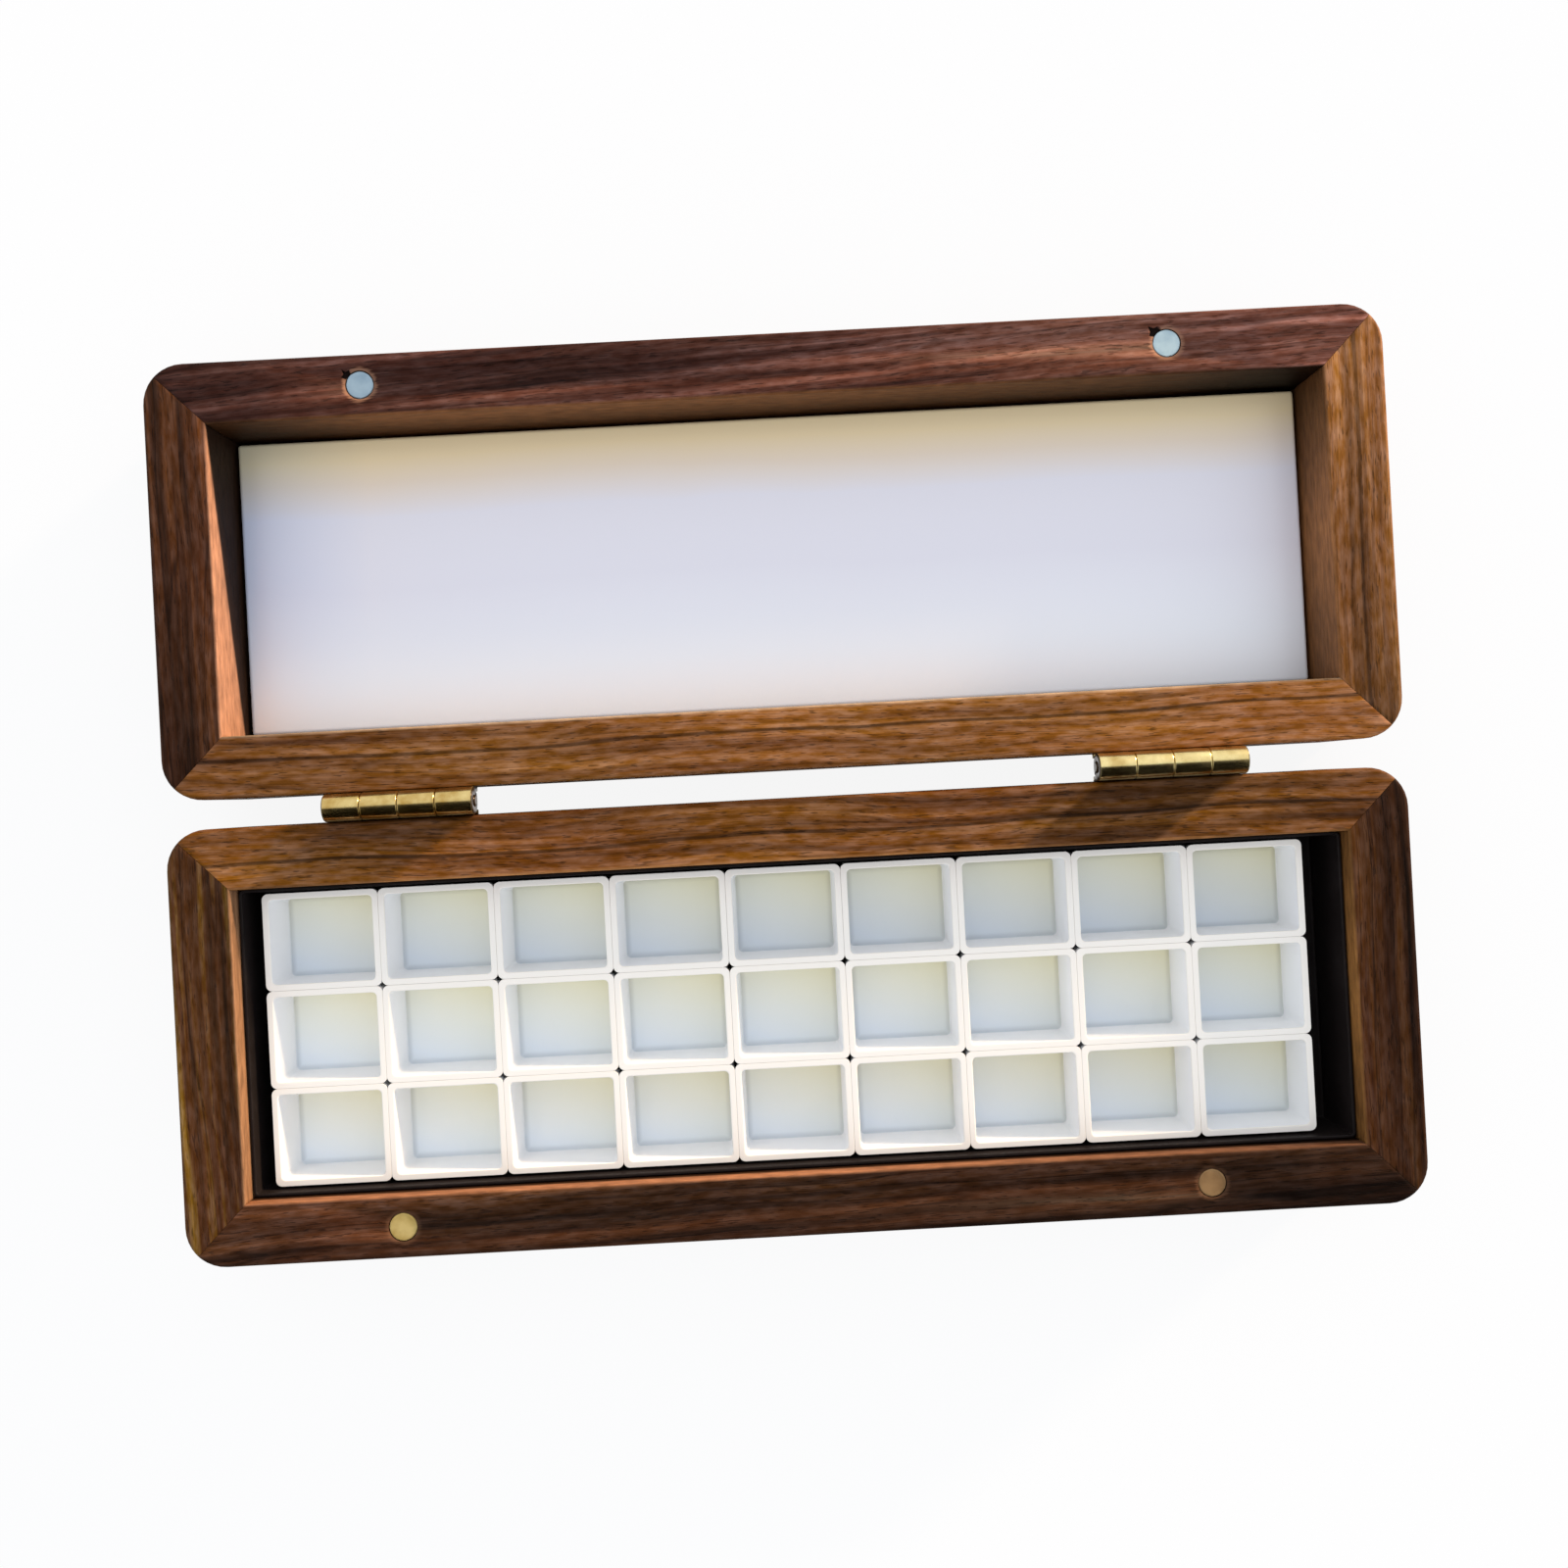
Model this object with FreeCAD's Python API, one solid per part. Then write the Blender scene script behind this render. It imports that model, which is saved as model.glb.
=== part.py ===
import FreeCAD, Part
import math
import os

# Palette box for watercolour half pans: two mitred walnut trays joined by two brass butt hinges.
# It is modelled opened flat, both rims up. Lengths are in millimetres and +Z is up.
# The origin lies on the table, under the middle of the hinge line. X runs along the hinges.
# The base with its pans lies towards -Y, and the lid with its mixing plate towards +Y.

# Half pans. The trays are laid out around this standard size.
PAN_LENGTH = 18.9
PAN_WIDTH = 15.9
PAN_HEIGHT = 9.4
PAN_WALL = 1.0
PAN_FLOOR = 0.9
PAN_DRAFT = 0.36            # how far a wall leans in between the rim and the foot
PAN_CORNER_RADIUS = 1.5
PAN_INNER_CORNER = 0.7      # flat across each corner of the hollow
PAN_GAP = 0.1               # between neighbours in the block
PAN_COLUMNS = 9
PAN_ROWS = 3

# Magnet tile glued under each pan.
TILE_MARGIN = 2.6           # from the edge of the pan's foot
TILE_THICKNESS = 0.6

# Free room around the block of pans.
ROOM_LEFT = 3.2
ROOM_RIGHT = 5.9            # finger room for sliding a pan out of its row
ROOM_SIDE = 1.2

# Mitred rails of both trays.
RAIL_WIDTH = 10.0
RAIL_HEIGHT = 19.5
CORNER_RADIUS = 6.5         # outer upright corners
OUTER_CHAMFER = 0.5
INNER_CHAMFER = 0.3

# Panels in the rebates under the rails.
PANEL_THICKNESS = 4.0
REBATE_WIDTH = 5.0
PANEL_CLEARANCE = 0.1

# Black tray under the pans, folded from thin steel.
SHEET_THICKNESS = 0.5
PAN_TRAY_CLEARANCE = 0.2    # from its walls to the rails
PAN_TRAY_DROP = 3.0         # from the rims down to the top of its walls
PAN_TRAY_BEND = 0.3         # inside radius of its folds

# White mixing plate on the lid's panel.
PLATE_THICKNESS = 4.0
PLATE_CLEARANCE = 0.5
PLATE_EDGE_RADIUS = 0.6

# Closing magnets in the two front rails.
MAGNET_RADIUS = 2.25
MAGNET_THICKNESS = 3.0
MAGNET_CLEARANCE = 0.05
MAGNET_SINK = 0.1           # below the rim
MAGNET_END_INSET = 35.0     # from the end of the box to the magnet's centre

# Butt hinges screwed to the two back faces.
HINGE_GAP = 4.7             # between the trays when they lie flat
HINGE_LENGTH = 24.0
HINGE_END_INSET = 26.0      # from the end of the box to the hinge
BARREL_CLEARANCE = 0.1      # between the barrel and a back face
AXIS_RISE = 0.1             # of the pin above the rims, so that closed rims don't bind
LEAF_THICKNESS = 0.9
LEAF_REACH = 6.8            # from the pin's axis to the leaf's far edge
KNUCKLE_COUNT = 4           # even: the two leaves are the same part, turned round
KNUCKLE_GAP = 0.1
KNUCKLE_RELIEF = 0.2        # between a knuckle and the notch in the other leaf
PIN_RADIUS = 0.9
PIN_CLEARANCE = 0.04
PIN_OVERHANG = 0.2          # past the last knuckle

# Countersunk screws, two for each leaf.
SCREW_HEAD_RADIUS = 1.5
SCREW_SHANK_RADIUS = 0.8
SCREW_LENGTH = 7.0
SCREW_CLEARANCE = 0.03
SCREW_SINK = 0.05           # head below the face of the leaf
SCREW_END_INSET = 5.0       # from the end of the hinge
SCREW_DROP = 4.6            # below the pin's axis

# Places that follow from the sizes above.
PAN_PITCH_X = PAN_LENGTH + PAN_GAP
PAN_PITCH_Y = PAN_WIDTH + PAN_GAP
BLOCK_LENGTH = PAN_COLUMNS * PAN_PITCH_X - PAN_GAP
BLOCK_WIDTH = PAN_ROWS * PAN_PITCH_Y - PAN_GAP
OPENING_LENGTH = ROOM_LEFT + BLOCK_LENGTH + ROOM_RIGHT
OPENING_WIDTH = BLOCK_WIDTH + 2 * ROOM_SIDE
BOX_LENGTH = OPENING_LENGTH + 2 * RAIL_WIDTH
TRAY_WIDTH = OPENING_WIDTH + 2 * RAIL_WIDTH
BACK_FACE_Y = -HINGE_GAP / 2
TRAY_CENTRE_Y = BACK_FACE_Y - TRAY_WIDTH / 2
AXIS_Z = RAIL_HEIGHT + AXIS_RISE
BARREL_RADIUS = HINGE_GAP / 2 - BARREL_CLEARANCE
KNUCKLE_PITCH = HINGE_LENGTH / KNUCKLE_COUNT
HINGE_CENTRE_X = BOX_LENGTH / 2 - HINGE_END_INSET - HINGE_LENGTH / 2
SCREW_SPREAD = HINGE_LENGTH / 2 - SCREW_END_INSET
MAGNET_X = BOX_LENGTH / 2 - MAGNET_END_INSET
MAGNET_Y = TRAY_CENTRE_Y - (OPENING_WIDTH + RAIL_WIDTH) / 2
PAN_SEAT_Z = PANEL_THICKNESS + SHEET_THICKNESS + TILE_THICKNESS

UP = FreeCAD.Vector(0, 0, 1)
ORIGIN = FreeCAD.Vector(0, 0, 0)
EPSILON = 1e-6


def centred_box(length, width, z_low, z_high):
    """A block centred on the Z axis."""
    corner = FreeCAD.Vector(-length / 2, -width / 2, z_low)
    return Part.makeBox(length, width, z_high - z_low, corner)


def moved(shape, x=0.0, y=0.0, z=0.0):
    """A copy of the shape, shifted."""
    copy = shape.copy()
    copy.translate(FreeCAD.Vector(x, y, z))
    return copy


def turned_round(shape):
    """A copy turned half round the Z axis, which takes a base piece to its place in the lid."""
    copy = shape.copy()
    copy.rotate(ORIGIN, UP, 180)
    return copy


def rounded_outline(length, width, radius, z):
    """A closed rectangle with four round corners, centred on the Z axis."""
    arcs = []
    for quarter, (sign_x, sign_y) in enumerate(((1, 1), (-1, 1), (-1, -1), (1, -1))):
        points = []
        for turn in (0, 45, 90):
            angle = math.radians(90 * quarter + turn)
            x = sign_x * (length / 2 - radius) + radius * math.cos(angle)
            y = sign_y * (width / 2 - radius) + radius * math.sin(angle)
            points.append(FreeCAD.Vector(x, y, z))
        arcs.append(Part.Arc(*points).toShape())
    edges = []
    for arc, following in zip(arcs, arcs[1:] + arcs[:1]):
        side = Part.LineSegment(arc.Vertexes[1].Point, following.Vertexes[0].Point)
        edges += [arc, side.toShape()]
    return Part.Wire(edges)


def clipped_outline(length, width, clip, z):
    """A closed rectangle with a flat across each corner, centred on the Z axis."""
    points = []
    for sign_x, sign_y in ((1, 1), (-1, 1), (-1, -1), (1, -1)):
        near_side = FreeCAD.Vector(sign_x * length / 2, sign_y * (width / 2 - clip), z)
        near_end = FreeCAD.Vector(sign_x * (length / 2 - clip), sign_y * width / 2, z)
        points += [near_side, near_end] if sign_x == sign_y else [near_end, near_side]
    return Part.makePolygon(points + points[:1])


# --- Trays -------------------------------------------------------------------------------------

def level_edges(shape, z, inner):
    """The edges of a tray frame at one height, either round the opening or round the outside."""
    reach_x = OPENING_LENGTH / 2 + EPSILON
    reach_y = OPENING_WIDTH / 2 + EPSILON
    found = []
    for edge in shape.Edges:
        level = all(abs(vertex.Z - z) < EPSILON for vertex in edge.Vertexes)
        near = all(abs(v.X) < reach_x and abs(v.Y) < reach_y for v in edge.Vertexes)
        outside = all(
            abs(v.X) > OPENING_LENGTH / 2 + REBATE_WIDTH + EPSILON
            or abs(v.Y) > OPENING_WIDTH / 2 + REBATE_WIDTH + EPSILON
            for v in edge.Vertexes
        )
        if level and (near if inner else outside):
            found.append(edge)
    return found


def tray_frame():
    """The ring of wood before it is cut at the mitres, centred on the Z axis."""
    outline = rounded_outline(BOX_LENGTH, TRAY_WIDTH, CORNER_RADIUS, 0)
    frame = Part.Face(outline).extrude(UP * RAIL_HEIGHT)
    frame = frame.cut(centred_box(OPENING_LENGTH, OPENING_WIDTH, -1, RAIL_HEIGHT + 1))
    rebate_length = OPENING_LENGTH + 2 * REBATE_WIDTH
    rebate_width = OPENING_WIDTH + 2 * REBATE_WIDTH
    frame = frame.cut(centred_box(rebate_length, rebate_width, -1, PANEL_THICKNESS))
    for z in (0, RAIL_HEIGHT):
        frame = frame.makeChamfer(OUTER_CHAMFER, level_edges(frame, z, inner=False))
    return frame.makeChamfer(INNER_CHAMFER, level_edges(frame, RAIL_HEIGHT, inner=True))


def mitre_wedge(side_length, across, angle):
    """The space between two mitre planes, for the rail whose outside faces -Y before turning."""
    depth = RAIL_WIDTH + 1
    half = side_length / 2
    corners = [
        FreeCAD.Vector(-half, -across, 0),
        FreeCAD.Vector(half, -across, 0),
        FreeCAD.Vector(half - depth, depth - across, 0),
        FreeCAD.Vector(-half + depth, depth - across, 0),
    ]
    wedge = Part.Face(Part.makePolygon(corners + corners[:1])).extrude(UP * RAIL_HEIGHT)
    wedge.rotate(ORIGIN, UP, angle)
    return wedge


def tray_rails():
    """The four mitred rails of the base tray, by side."""
    frame = tray_frame()
    half_length = BOX_LENGTH / 2
    half_width = TRAY_WIDTH / 2
    wedges = {
        "front": mitre_wedge(BOX_LENGTH, half_width, 0),
        "right": mitre_wedge(TRAY_WIDTH, half_length, 90),
        "back": mitre_wedge(BOX_LENGTH, half_width, 180),
        "left": mitre_wedge(TRAY_WIDTH, half_length, 270),
    }
    rails = {side: moved(frame.common(wedge), y=TRAY_CENTRE_Y) for side, wedge in wedges.items()}
    for x in (-MAGNET_X, MAGNET_X):
        rails["front"] = rails["front"].cut(magnet(x, MAGNET_CLEARANCE))
    for x, z in screw_places():
        rails["back"] = rails["back"].cut(moved(screw(SCREW_CLEARANCE), x, 0, z))
    return rails


def panel():
    """The panel in the rebate of the base tray, flush with the undersides of the rails."""
    length = OPENING_LENGTH + 2 * (REBATE_WIDTH - PANEL_CLEARANCE)
    width = OPENING_WIDTH + 2 * (REBATE_WIDTH - PANEL_CLEARANCE)
    return moved(centred_box(length, width, 0, PANEL_THICKNESS), y=TRAY_CENTRE_Y)


def pan_tray():
    """The tray on the base's panel, which the pan magnets hold to: a floor with four low walls."""
    length = OPENING_LENGTH - 2 * PAN_TRAY_CLEARANCE
    width = OPENING_WIDTH - 2 * PAN_TRAY_CLEARANCE
    z_high = RAIL_HEIGHT - PAN_TRAY_DROP
    layers = []
    for inset, radius in (
        (0, PAN_TRAY_BEND + SHEET_THICKNESS),
        (SHEET_THICKNESS, PAN_TRAY_BEND),
    ):
        foot = PANEL_THICKNESS + inset
        block = centred_box(length - 2 * inset, width - 2 * inset, foot, z_high + inset)
        folds = [e for e in block.Edges if all(abs(v.Z - foot) < EPSILON for v in e.Vertexes)]
        layers.append(block.makeFillet(radius, folds))
    return moved(layers[0].cut(layers[1]), y=TRAY_CENTRE_Y)


def mixing_plate():
    """The plate on the lid's panel, with its upper edges rounded over."""
    length = OPENING_LENGTH - 2 * PLATE_CLEARANCE
    width = OPENING_WIDTH - 2 * PLATE_CLEARANCE
    top = PANEL_THICKNESS + PLATE_THICKNESS
    plate = centred_box(length, width, PANEL_THICKNESS, top)
    rim = [e for e in plate.Edges if all(abs(v.Z - top) < EPSILON for v in e.Vertexes)]
    plate = plate.makeFillet(min(PLATE_EDGE_RADIUS, PLATE_THICKNESS / 2), rim)
    return moved(plate, y=-TRAY_CENTRE_Y)


def magnet(x, growth=0.0):
    """A closing magnet in the base's front rail. Growth makes the tool that cuts its pocket."""
    height = MAGNET_THICKNESS + growth + (MAGNET_SINK + 1 if growth else 0)
    z_low = RAIL_HEIGHT - MAGNET_SINK - MAGNET_THICKNESS - growth
    foot = FreeCAD.Vector(x, MAGNET_Y, z_low)
    return Part.makeCylinder(MAGNET_RADIUS + growth, height, foot, UP)


# --- Hinges ------------------------------------------------------------------------------------

def along_x(radius, x_low, x_high):
    """A round bar on the pin's axis."""
    start = FreeCAD.Vector(x_low, 0, AXIS_Z)
    return Part.makeCylinder(radius, x_high - x_low, start, FreeCAD.Vector(1, 0, 0))


def screw_places():
    """X and Z of every screw in one back face, hinge by hinge."""
    return [
        (hinge_x + side * SCREW_SPREAD, AXIS_Z - SCREW_DROP)
        for hinge_x in (-HINGE_CENTRE_X, HINGE_CENTRE_X)
        for side in (-1, 1)
    ]


def screw(growth=0.0):
    """A countersunk screw pointing towards -Y, its axis at X = Z = 0. Growth makes the hole's tool."""
    head_y = BACK_FACE_Y + LEAF_THICKNESS - SCREW_SINK
    neck_y = head_y - (SCREW_HEAD_RADIUS - SCREW_SHANK_RADIUS)
    tip_y = head_y - SCREW_LENGTH - growth
    top_y = head_y + (LEAF_THICKNESS if growth else 0)
    head = SCREW_HEAD_RADIUS + growth
    shank = SCREW_SHANK_RADIUS + growth
    profile = [(0, top_y), (head, head_y), (shank, neck_y), (shank, tip_y), (0, tip_y)]
    if growth:
        profile.insert(1, (head, top_y))
    points = [FreeCAD.Vector(radius, y, 0) for radius, y in profile]
    face = Part.Face(Part.makePolygon(points + points[:1]))
    return face.revolve(ORIGIN, FreeCAD.Vector(0, 1, 0), 360)


def hinge_leaf():
    """The base leaf of a hinge centred on X = 0: a plate with every second knuckle rolled from it."""
    plate_corner = FreeCAD.Vector(-HINGE_LENGTH / 2, BACK_FACE_Y, AXIS_Z - LEAF_REACH)
    leaf = Part.makeBox(HINGE_LENGTH, LEAF_THICKNESS, LEAF_REACH, plate_corner)
    for index in range(KNUCKLE_COUNT):
        x_low = -HINGE_LENGTH / 2 + index * KNUCKLE_PITCH
        x_high = x_low + KNUCKLE_PITCH
        if index % 2 == 0:
            start = x_low if index == 0 else x_low + KNUCKLE_GAP / 2
            leaf = leaf.fuse(along_x(BARREL_RADIUS, start, x_high - KNUCKLE_GAP / 2))
        else:
            end = x_high + (1 if index == KNUCKLE_COUNT - 1 else KNUCKLE_GAP / 2)
            foot = FreeCAD.Vector(
                x_low - KNUCKLE_GAP / 2,
                BACK_FACE_Y - 1,
                AXIS_Z - BARREL_RADIUS - KNUCKLE_RELIEF,
            )
            notch = Part.makeBox(end - foot.x, HINGE_GAP, BARREL_RADIUS + 2, foot)
            leaf = leaf.cut(notch)
    leaf = leaf.cut(along_x(PIN_RADIUS + PIN_CLEARANCE, -HINGE_LENGTH, HINGE_LENGTH))
    for side in (-1, 1):
        hole = moved(screw(SCREW_CLEARANCE), side * SCREW_SPREAD, 0, AXIS_Z - SCREW_DROP)
        leaf = leaf.cut(hole)
    return leaf.removeSplitter()


def hinge_pin():
    """The pin of a hinge centred on X = 0."""
    half = HINGE_LENGTH / 2 + PIN_OVERHANG
    return along_x(PIN_RADIUS, -half, half)


# --- Pans --------------------------------------------------------------------------------------

def tapered_block(outline, length, width, corner, z_low, z_high):
    """A block whose size is given at the pan's rim and leans in below it.

    Its corners have the same size at every height. A round corner is its lower arc swept along the
    slanting corner line, and every other side is a flat face between two such lines.
    """
    low, high = (
        outline(length - 2 * lean, width - 2 * lean, corner, z)
        for z, lean in (
            (z, PAN_DRAFT * (PAN_HEIGHT - z) / PAN_HEIGHT) for z in (z_low, z_high)
        )
    )
    faces = [Part.Face(low), Part.Face(high)]
    for lower, upper in zip(low.OrderedEdges, high.OrderedEdges):
        start, end = (lower.valueAt(t) for t in lower.ParameterRange)
        upper_start, upper_end = (upper.valueAt(t) for t in upper.ParameterRange)
        if isinstance(lower.Curve, Part.Circle):
            faces.append(lower.extrude(upper_start - start))
        else:
            faces.append(Part.Face(Part.makePolygon([start, end, upper_end, upper_start, start])))
    shell = Part.Compound(faces)
    shell.sewShape()
    solid = Part.Solid(Part.Shell(shell.Faces))
    return solid if solid.Volume > 0 else solid.reversed()


def half_pan():
    """One pan standing on Z = 0: an open cup with drafted walls of even thickness."""
    cup = tapered_block(
        rounded_outline, PAN_LENGTH, PAN_WIDTH, PAN_CORNER_RADIUS, 0, PAN_HEIGHT
    )
    hollow = tapered_block(
        clipped_outline,
        PAN_LENGTH - 2 * PAN_WALL,
        PAN_WIDTH - 2 * PAN_WALL,
        PAN_INNER_CORNER,
        PAN_FLOOR,
        PAN_HEIGHT + 1,
    )
    return cup.cut(hollow)


def magnet_tile():
    """The magnet under one pan, hanging from Z = 0."""
    margin = PAN_DRAFT + TILE_MARGIN
    return centred_box(PAN_LENGTH - 2 * margin, PAN_WIDTH - 2 * margin, -TILE_THICKNESS, 0)


def pans():
    """Every pan with its magnet tile, row 1 beside the hinges and column 1 on the left."""
    pieces = {}
    pair = Part.makeCompound([half_pan(), magnet_tile()])
    left_x = -OPENING_LENGTH / 2 + ROOM_LEFT + PAN_LENGTH / 2
    back_y = TRAY_CENTRE_Y + (BLOCK_WIDTH - PAN_WIDTH) / 2
    for row in range(PAN_ROWS):
        for column in range(PAN_COLUMNS):
            x = left_x + column * PAN_PITCH_X
            y = back_y - row * PAN_PITCH_Y
            pieces[f"pan_r{row + 1}_c{column + 1}"] = moved(pair, x, y, PAN_SEAT_Z)
    return pieces


# --- Assembly ----------------------------------------------------------------------------------

def tray_pieces():
    """Rails, panels, mixing plate and closing magnets of both halves, and the base's pan tray."""
    opposite = {"front": "front", "back": "back", "left": "right", "right": "left"}
    pieces = {
        "base_bottom_panel": panel(),
        "lid_top_panel": turned_round(panel()),
        "pan_tray": pan_tray(),
        "mixing_plate": mixing_plate(),
    }
    for side, rail in tray_rails().items():
        pieces[f"base_rail_{side}"] = rail
        pieces[f"lid_rail_{opposite[side]}"] = turned_round(rail)
    for side, x in (("left", -MAGNET_X), ("right", MAGNET_X)):
        pieces[f"base_magnet_{side}"] = magnet(x)
        pieces[f"lid_magnet_{side}"] = turned_round(magnet(-x))
    return pieces


def hinge_pieces():
    """Two hinges, each with its two leaves and pin, and the screws as one group per tray."""
    pieces = {}
    leaf = hinge_leaf()
    pin = hinge_pin()
    for side, x in (("left", -HINGE_CENTRE_X), ("right", HINGE_CENTRE_X)):
        pieces[f"hinge_{side}_base_leaf"] = moved(leaf, x)
        pieces[f"hinge_{side}_lid_leaf"] = moved(turned_round(leaf), x)
        pieces[f"hinge_{side}_pin"] = moved(pin, x)
    screws = Part.makeCompound([moved(screw(), x, 0, z) for x, z in screw_places()])
    pieces["base_hinge_screws"] = screws
    pieces["lid_hinge_screws"] = turned_round(screws)
    return pieces


def main():
    """Build every piece and write each to its own file."""
    os.makedirs("parts", exist_ok=True)
    for name, shape in {**tray_pieces(), **hinge_pieces(), **pans()}.items():
        shape.exportStep(f"parts/{name}.step")
        print(f"{name}: {len(shape.Solids)} solid(s), {shape.Volume:.1f} mm3")


main()
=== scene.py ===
# %% [markdown]
# A walnut palette box for watercolours, opened flat like a book. Two mitred trays are joined by two
# brass butt hinges. One tray holds twenty-seven white half pans on a black steel floor, the other a
# white mixing plate. Small round magnets in the front rails hold the box shut.
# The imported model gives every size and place, so this file only has to give each piece its surface.

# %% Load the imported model
import functools
import math
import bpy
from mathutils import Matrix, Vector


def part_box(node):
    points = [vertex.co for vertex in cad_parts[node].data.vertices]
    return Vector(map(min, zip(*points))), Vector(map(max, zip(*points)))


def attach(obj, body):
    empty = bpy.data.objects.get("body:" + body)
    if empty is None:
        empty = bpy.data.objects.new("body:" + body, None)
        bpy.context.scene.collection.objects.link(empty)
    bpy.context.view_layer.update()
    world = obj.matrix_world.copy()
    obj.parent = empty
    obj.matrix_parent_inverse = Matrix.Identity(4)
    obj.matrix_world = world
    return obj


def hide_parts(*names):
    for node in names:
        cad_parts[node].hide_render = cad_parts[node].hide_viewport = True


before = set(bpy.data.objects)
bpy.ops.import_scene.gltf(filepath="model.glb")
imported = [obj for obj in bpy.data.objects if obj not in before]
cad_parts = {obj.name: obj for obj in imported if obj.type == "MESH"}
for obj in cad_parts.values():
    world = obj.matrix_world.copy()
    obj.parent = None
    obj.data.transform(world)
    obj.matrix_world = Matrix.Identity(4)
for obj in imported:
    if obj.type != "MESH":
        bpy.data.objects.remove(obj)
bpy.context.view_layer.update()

from types import SimpleNamespace

import bpy
import numpy as np
from mathutils import Euler

MM = 0.001

# %% [markdown]
# The box is seen from straight above, turned by three degrees. A camera in Blender is placed by a turn
# and a position. The turn here is three small turns after each other, and the lens follows from how
# many pixels the box covers.

# %% Camera
CAMERA_MM = (-1.37, -1.02, 239.5)
CAMERA_TURNS = (-0.264, 0.272, 3.048)  # degrees about X, then Y, then Z
FOCAL_PIXELS = 1397.8
IMAGE_PIXELS = 1600
SENSOR_MM = 36.0


def put_in_scene(name, data, axes=np.eye(3), place=(0, 0, 0)):
    """An object for some data. Its own axes stand along the columns of axes, in metres from place."""
    stand = np.eye(4)
    stand[:3, :3], stand[:3, 3] = axes, place
    thing = bpy.data.objects.new(name, data)
    thing.matrix_world = stand.T.tolist()
    bpy.context.scene.collection.objects.link(thing)
    return thing


to_camera = Euler(np.radians(CAMERA_TURNS)).to_matrix()
camera_data = bpy.data.cameras.new("overhead_camera")
camera_data.sensor_width = SENSOR_MM
camera_data.lens = FOCAL_PIXELS / IMAGE_PIXELS * SENSOR_MM
camera_data.clip_start = 0.01
camera_data.clip_end = 10.0
bpy.context.scene.camera = put_in_scene(
    "overhead_camera", camera_data, to_camera.transposed(), np.array(CAMERA_MM) * MM)
print("lens", round(camera_data.lens, 2), "mm")

# %% [markdown]
# Colours are written as hex values, as a screen wants them. Light is reckoned in linear values, so one
# function turns the first into the second.


# %% Colours
def linear(text):
    """An sRGB hex colour as linear RGBA: ((c + 0.055) / 1.055) ** 2.4, or c / 12.92 near black."""
    c = np.array([int(text[i:i + 2], 16) for i in (1, 3, 5)]) / 255
    return (*np.where(c <= 0.04045, c / 12.92, ((c + 0.055) / 1.055) ** 2.4).tolist(), 1.0)


print("walnut brown in linear light:", np.round(linear("#5a3a28")[:3], 3))

# %% [markdown]
# Every finish is a small network of nodes. One function fills a node's sockets with plain values or
# with links from other nodes, one adds a node with its settings, and one joins a whole finish to its
# shader.

# %% Nodes
SMOOTH = {"interpolation_type": "SMOOTHSTEP"}


def fill(node, sockets):
    """Fills sockets, each known by its name or number, with a plain value, a socket or a node."""
    in_use = [socket for socket in node.inputs if socket.enabled]
    for name, value in sockets.items():
        socket = in_use[name] if isinstance(name, int) else next(s for s in in_use if s.name == name)
        if isinstance(value, bpy.types.Node):
            value = next(s for s in value.outputs if s.enabled)
        if isinstance(value, bpy.types.NodeSocket):
            node.id_data.links.new(value, socket)
        else:
            socket.default_value = value


def add_node(tree, kind, *values, stops=(), **settings):
    """One new node. The values fill its sockets in order, or by name if they are a dict.

    A kind may carry its operation after a colon, and stops are those of a colour ramp. A MapRange
    takes a value, its range and the new range, and a TexNoise a place, its scale and its detail.
    """
    kind, _, operation = kind.partition(":")
    node = tree.nodes.new("ShaderNode" + kind)
    if operation:
        settings["data_type" if kind == "Mix" else "operation"] = operation
    for name, value in settings.items():
        setattr(node, name, value)
    fill(node, values[0] if values and isinstance(values[0], dict) else dict(enumerate(values)))
    for index, (position, colour) in enumerate(stops):
        elements = node.color_ramp.elements
        element = elements[index] if index < 2 else elements.new(position)
        element.position = position
        element.color = linear(colour) if isinstance(colour, str) else (colour, colour, colour, 1.0)
    return node


def new_material(name):
    """An empty node material, its shader, and the function that adds nodes to it."""
    material = bpy.data.materials.new(name)
    material.use_nodes = True
    tree = material.node_tree
    return material, tree.nodes["Principled BSDF"], functools.partial(add_node, tree)


def coat(add, shader, colour, gloss, relief, **plain):
    """Joins a finish to its shader. The gloss is a pattern with the ranges that turn it into a
    roughness, and the relief a pattern, its strength and its depth in millimetres."""
    height, strength, depth = relief
    bump = add("Bump", {"Height": height, "Strength": strength, "Distance": depth * MM})
    fill(shader, {"Base Color": colour, "Roughness": add("MapRange", *gloss), "Normal": bump})
    fill(shader, {name.replace("_", " "): value for name, value in plain.items()})


print("a smooth range:", SMOOTH)

# %% [markdown]
# Every new piece is a grid of points worked out with numpy, and then made a mesh. A profile is the
# line that a surface follows in section. Real edges are never quite sharp, so each corner of a profile
# is rounded, and a point close to each side of the arc keeps the flat beside it flat when shaded.


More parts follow.
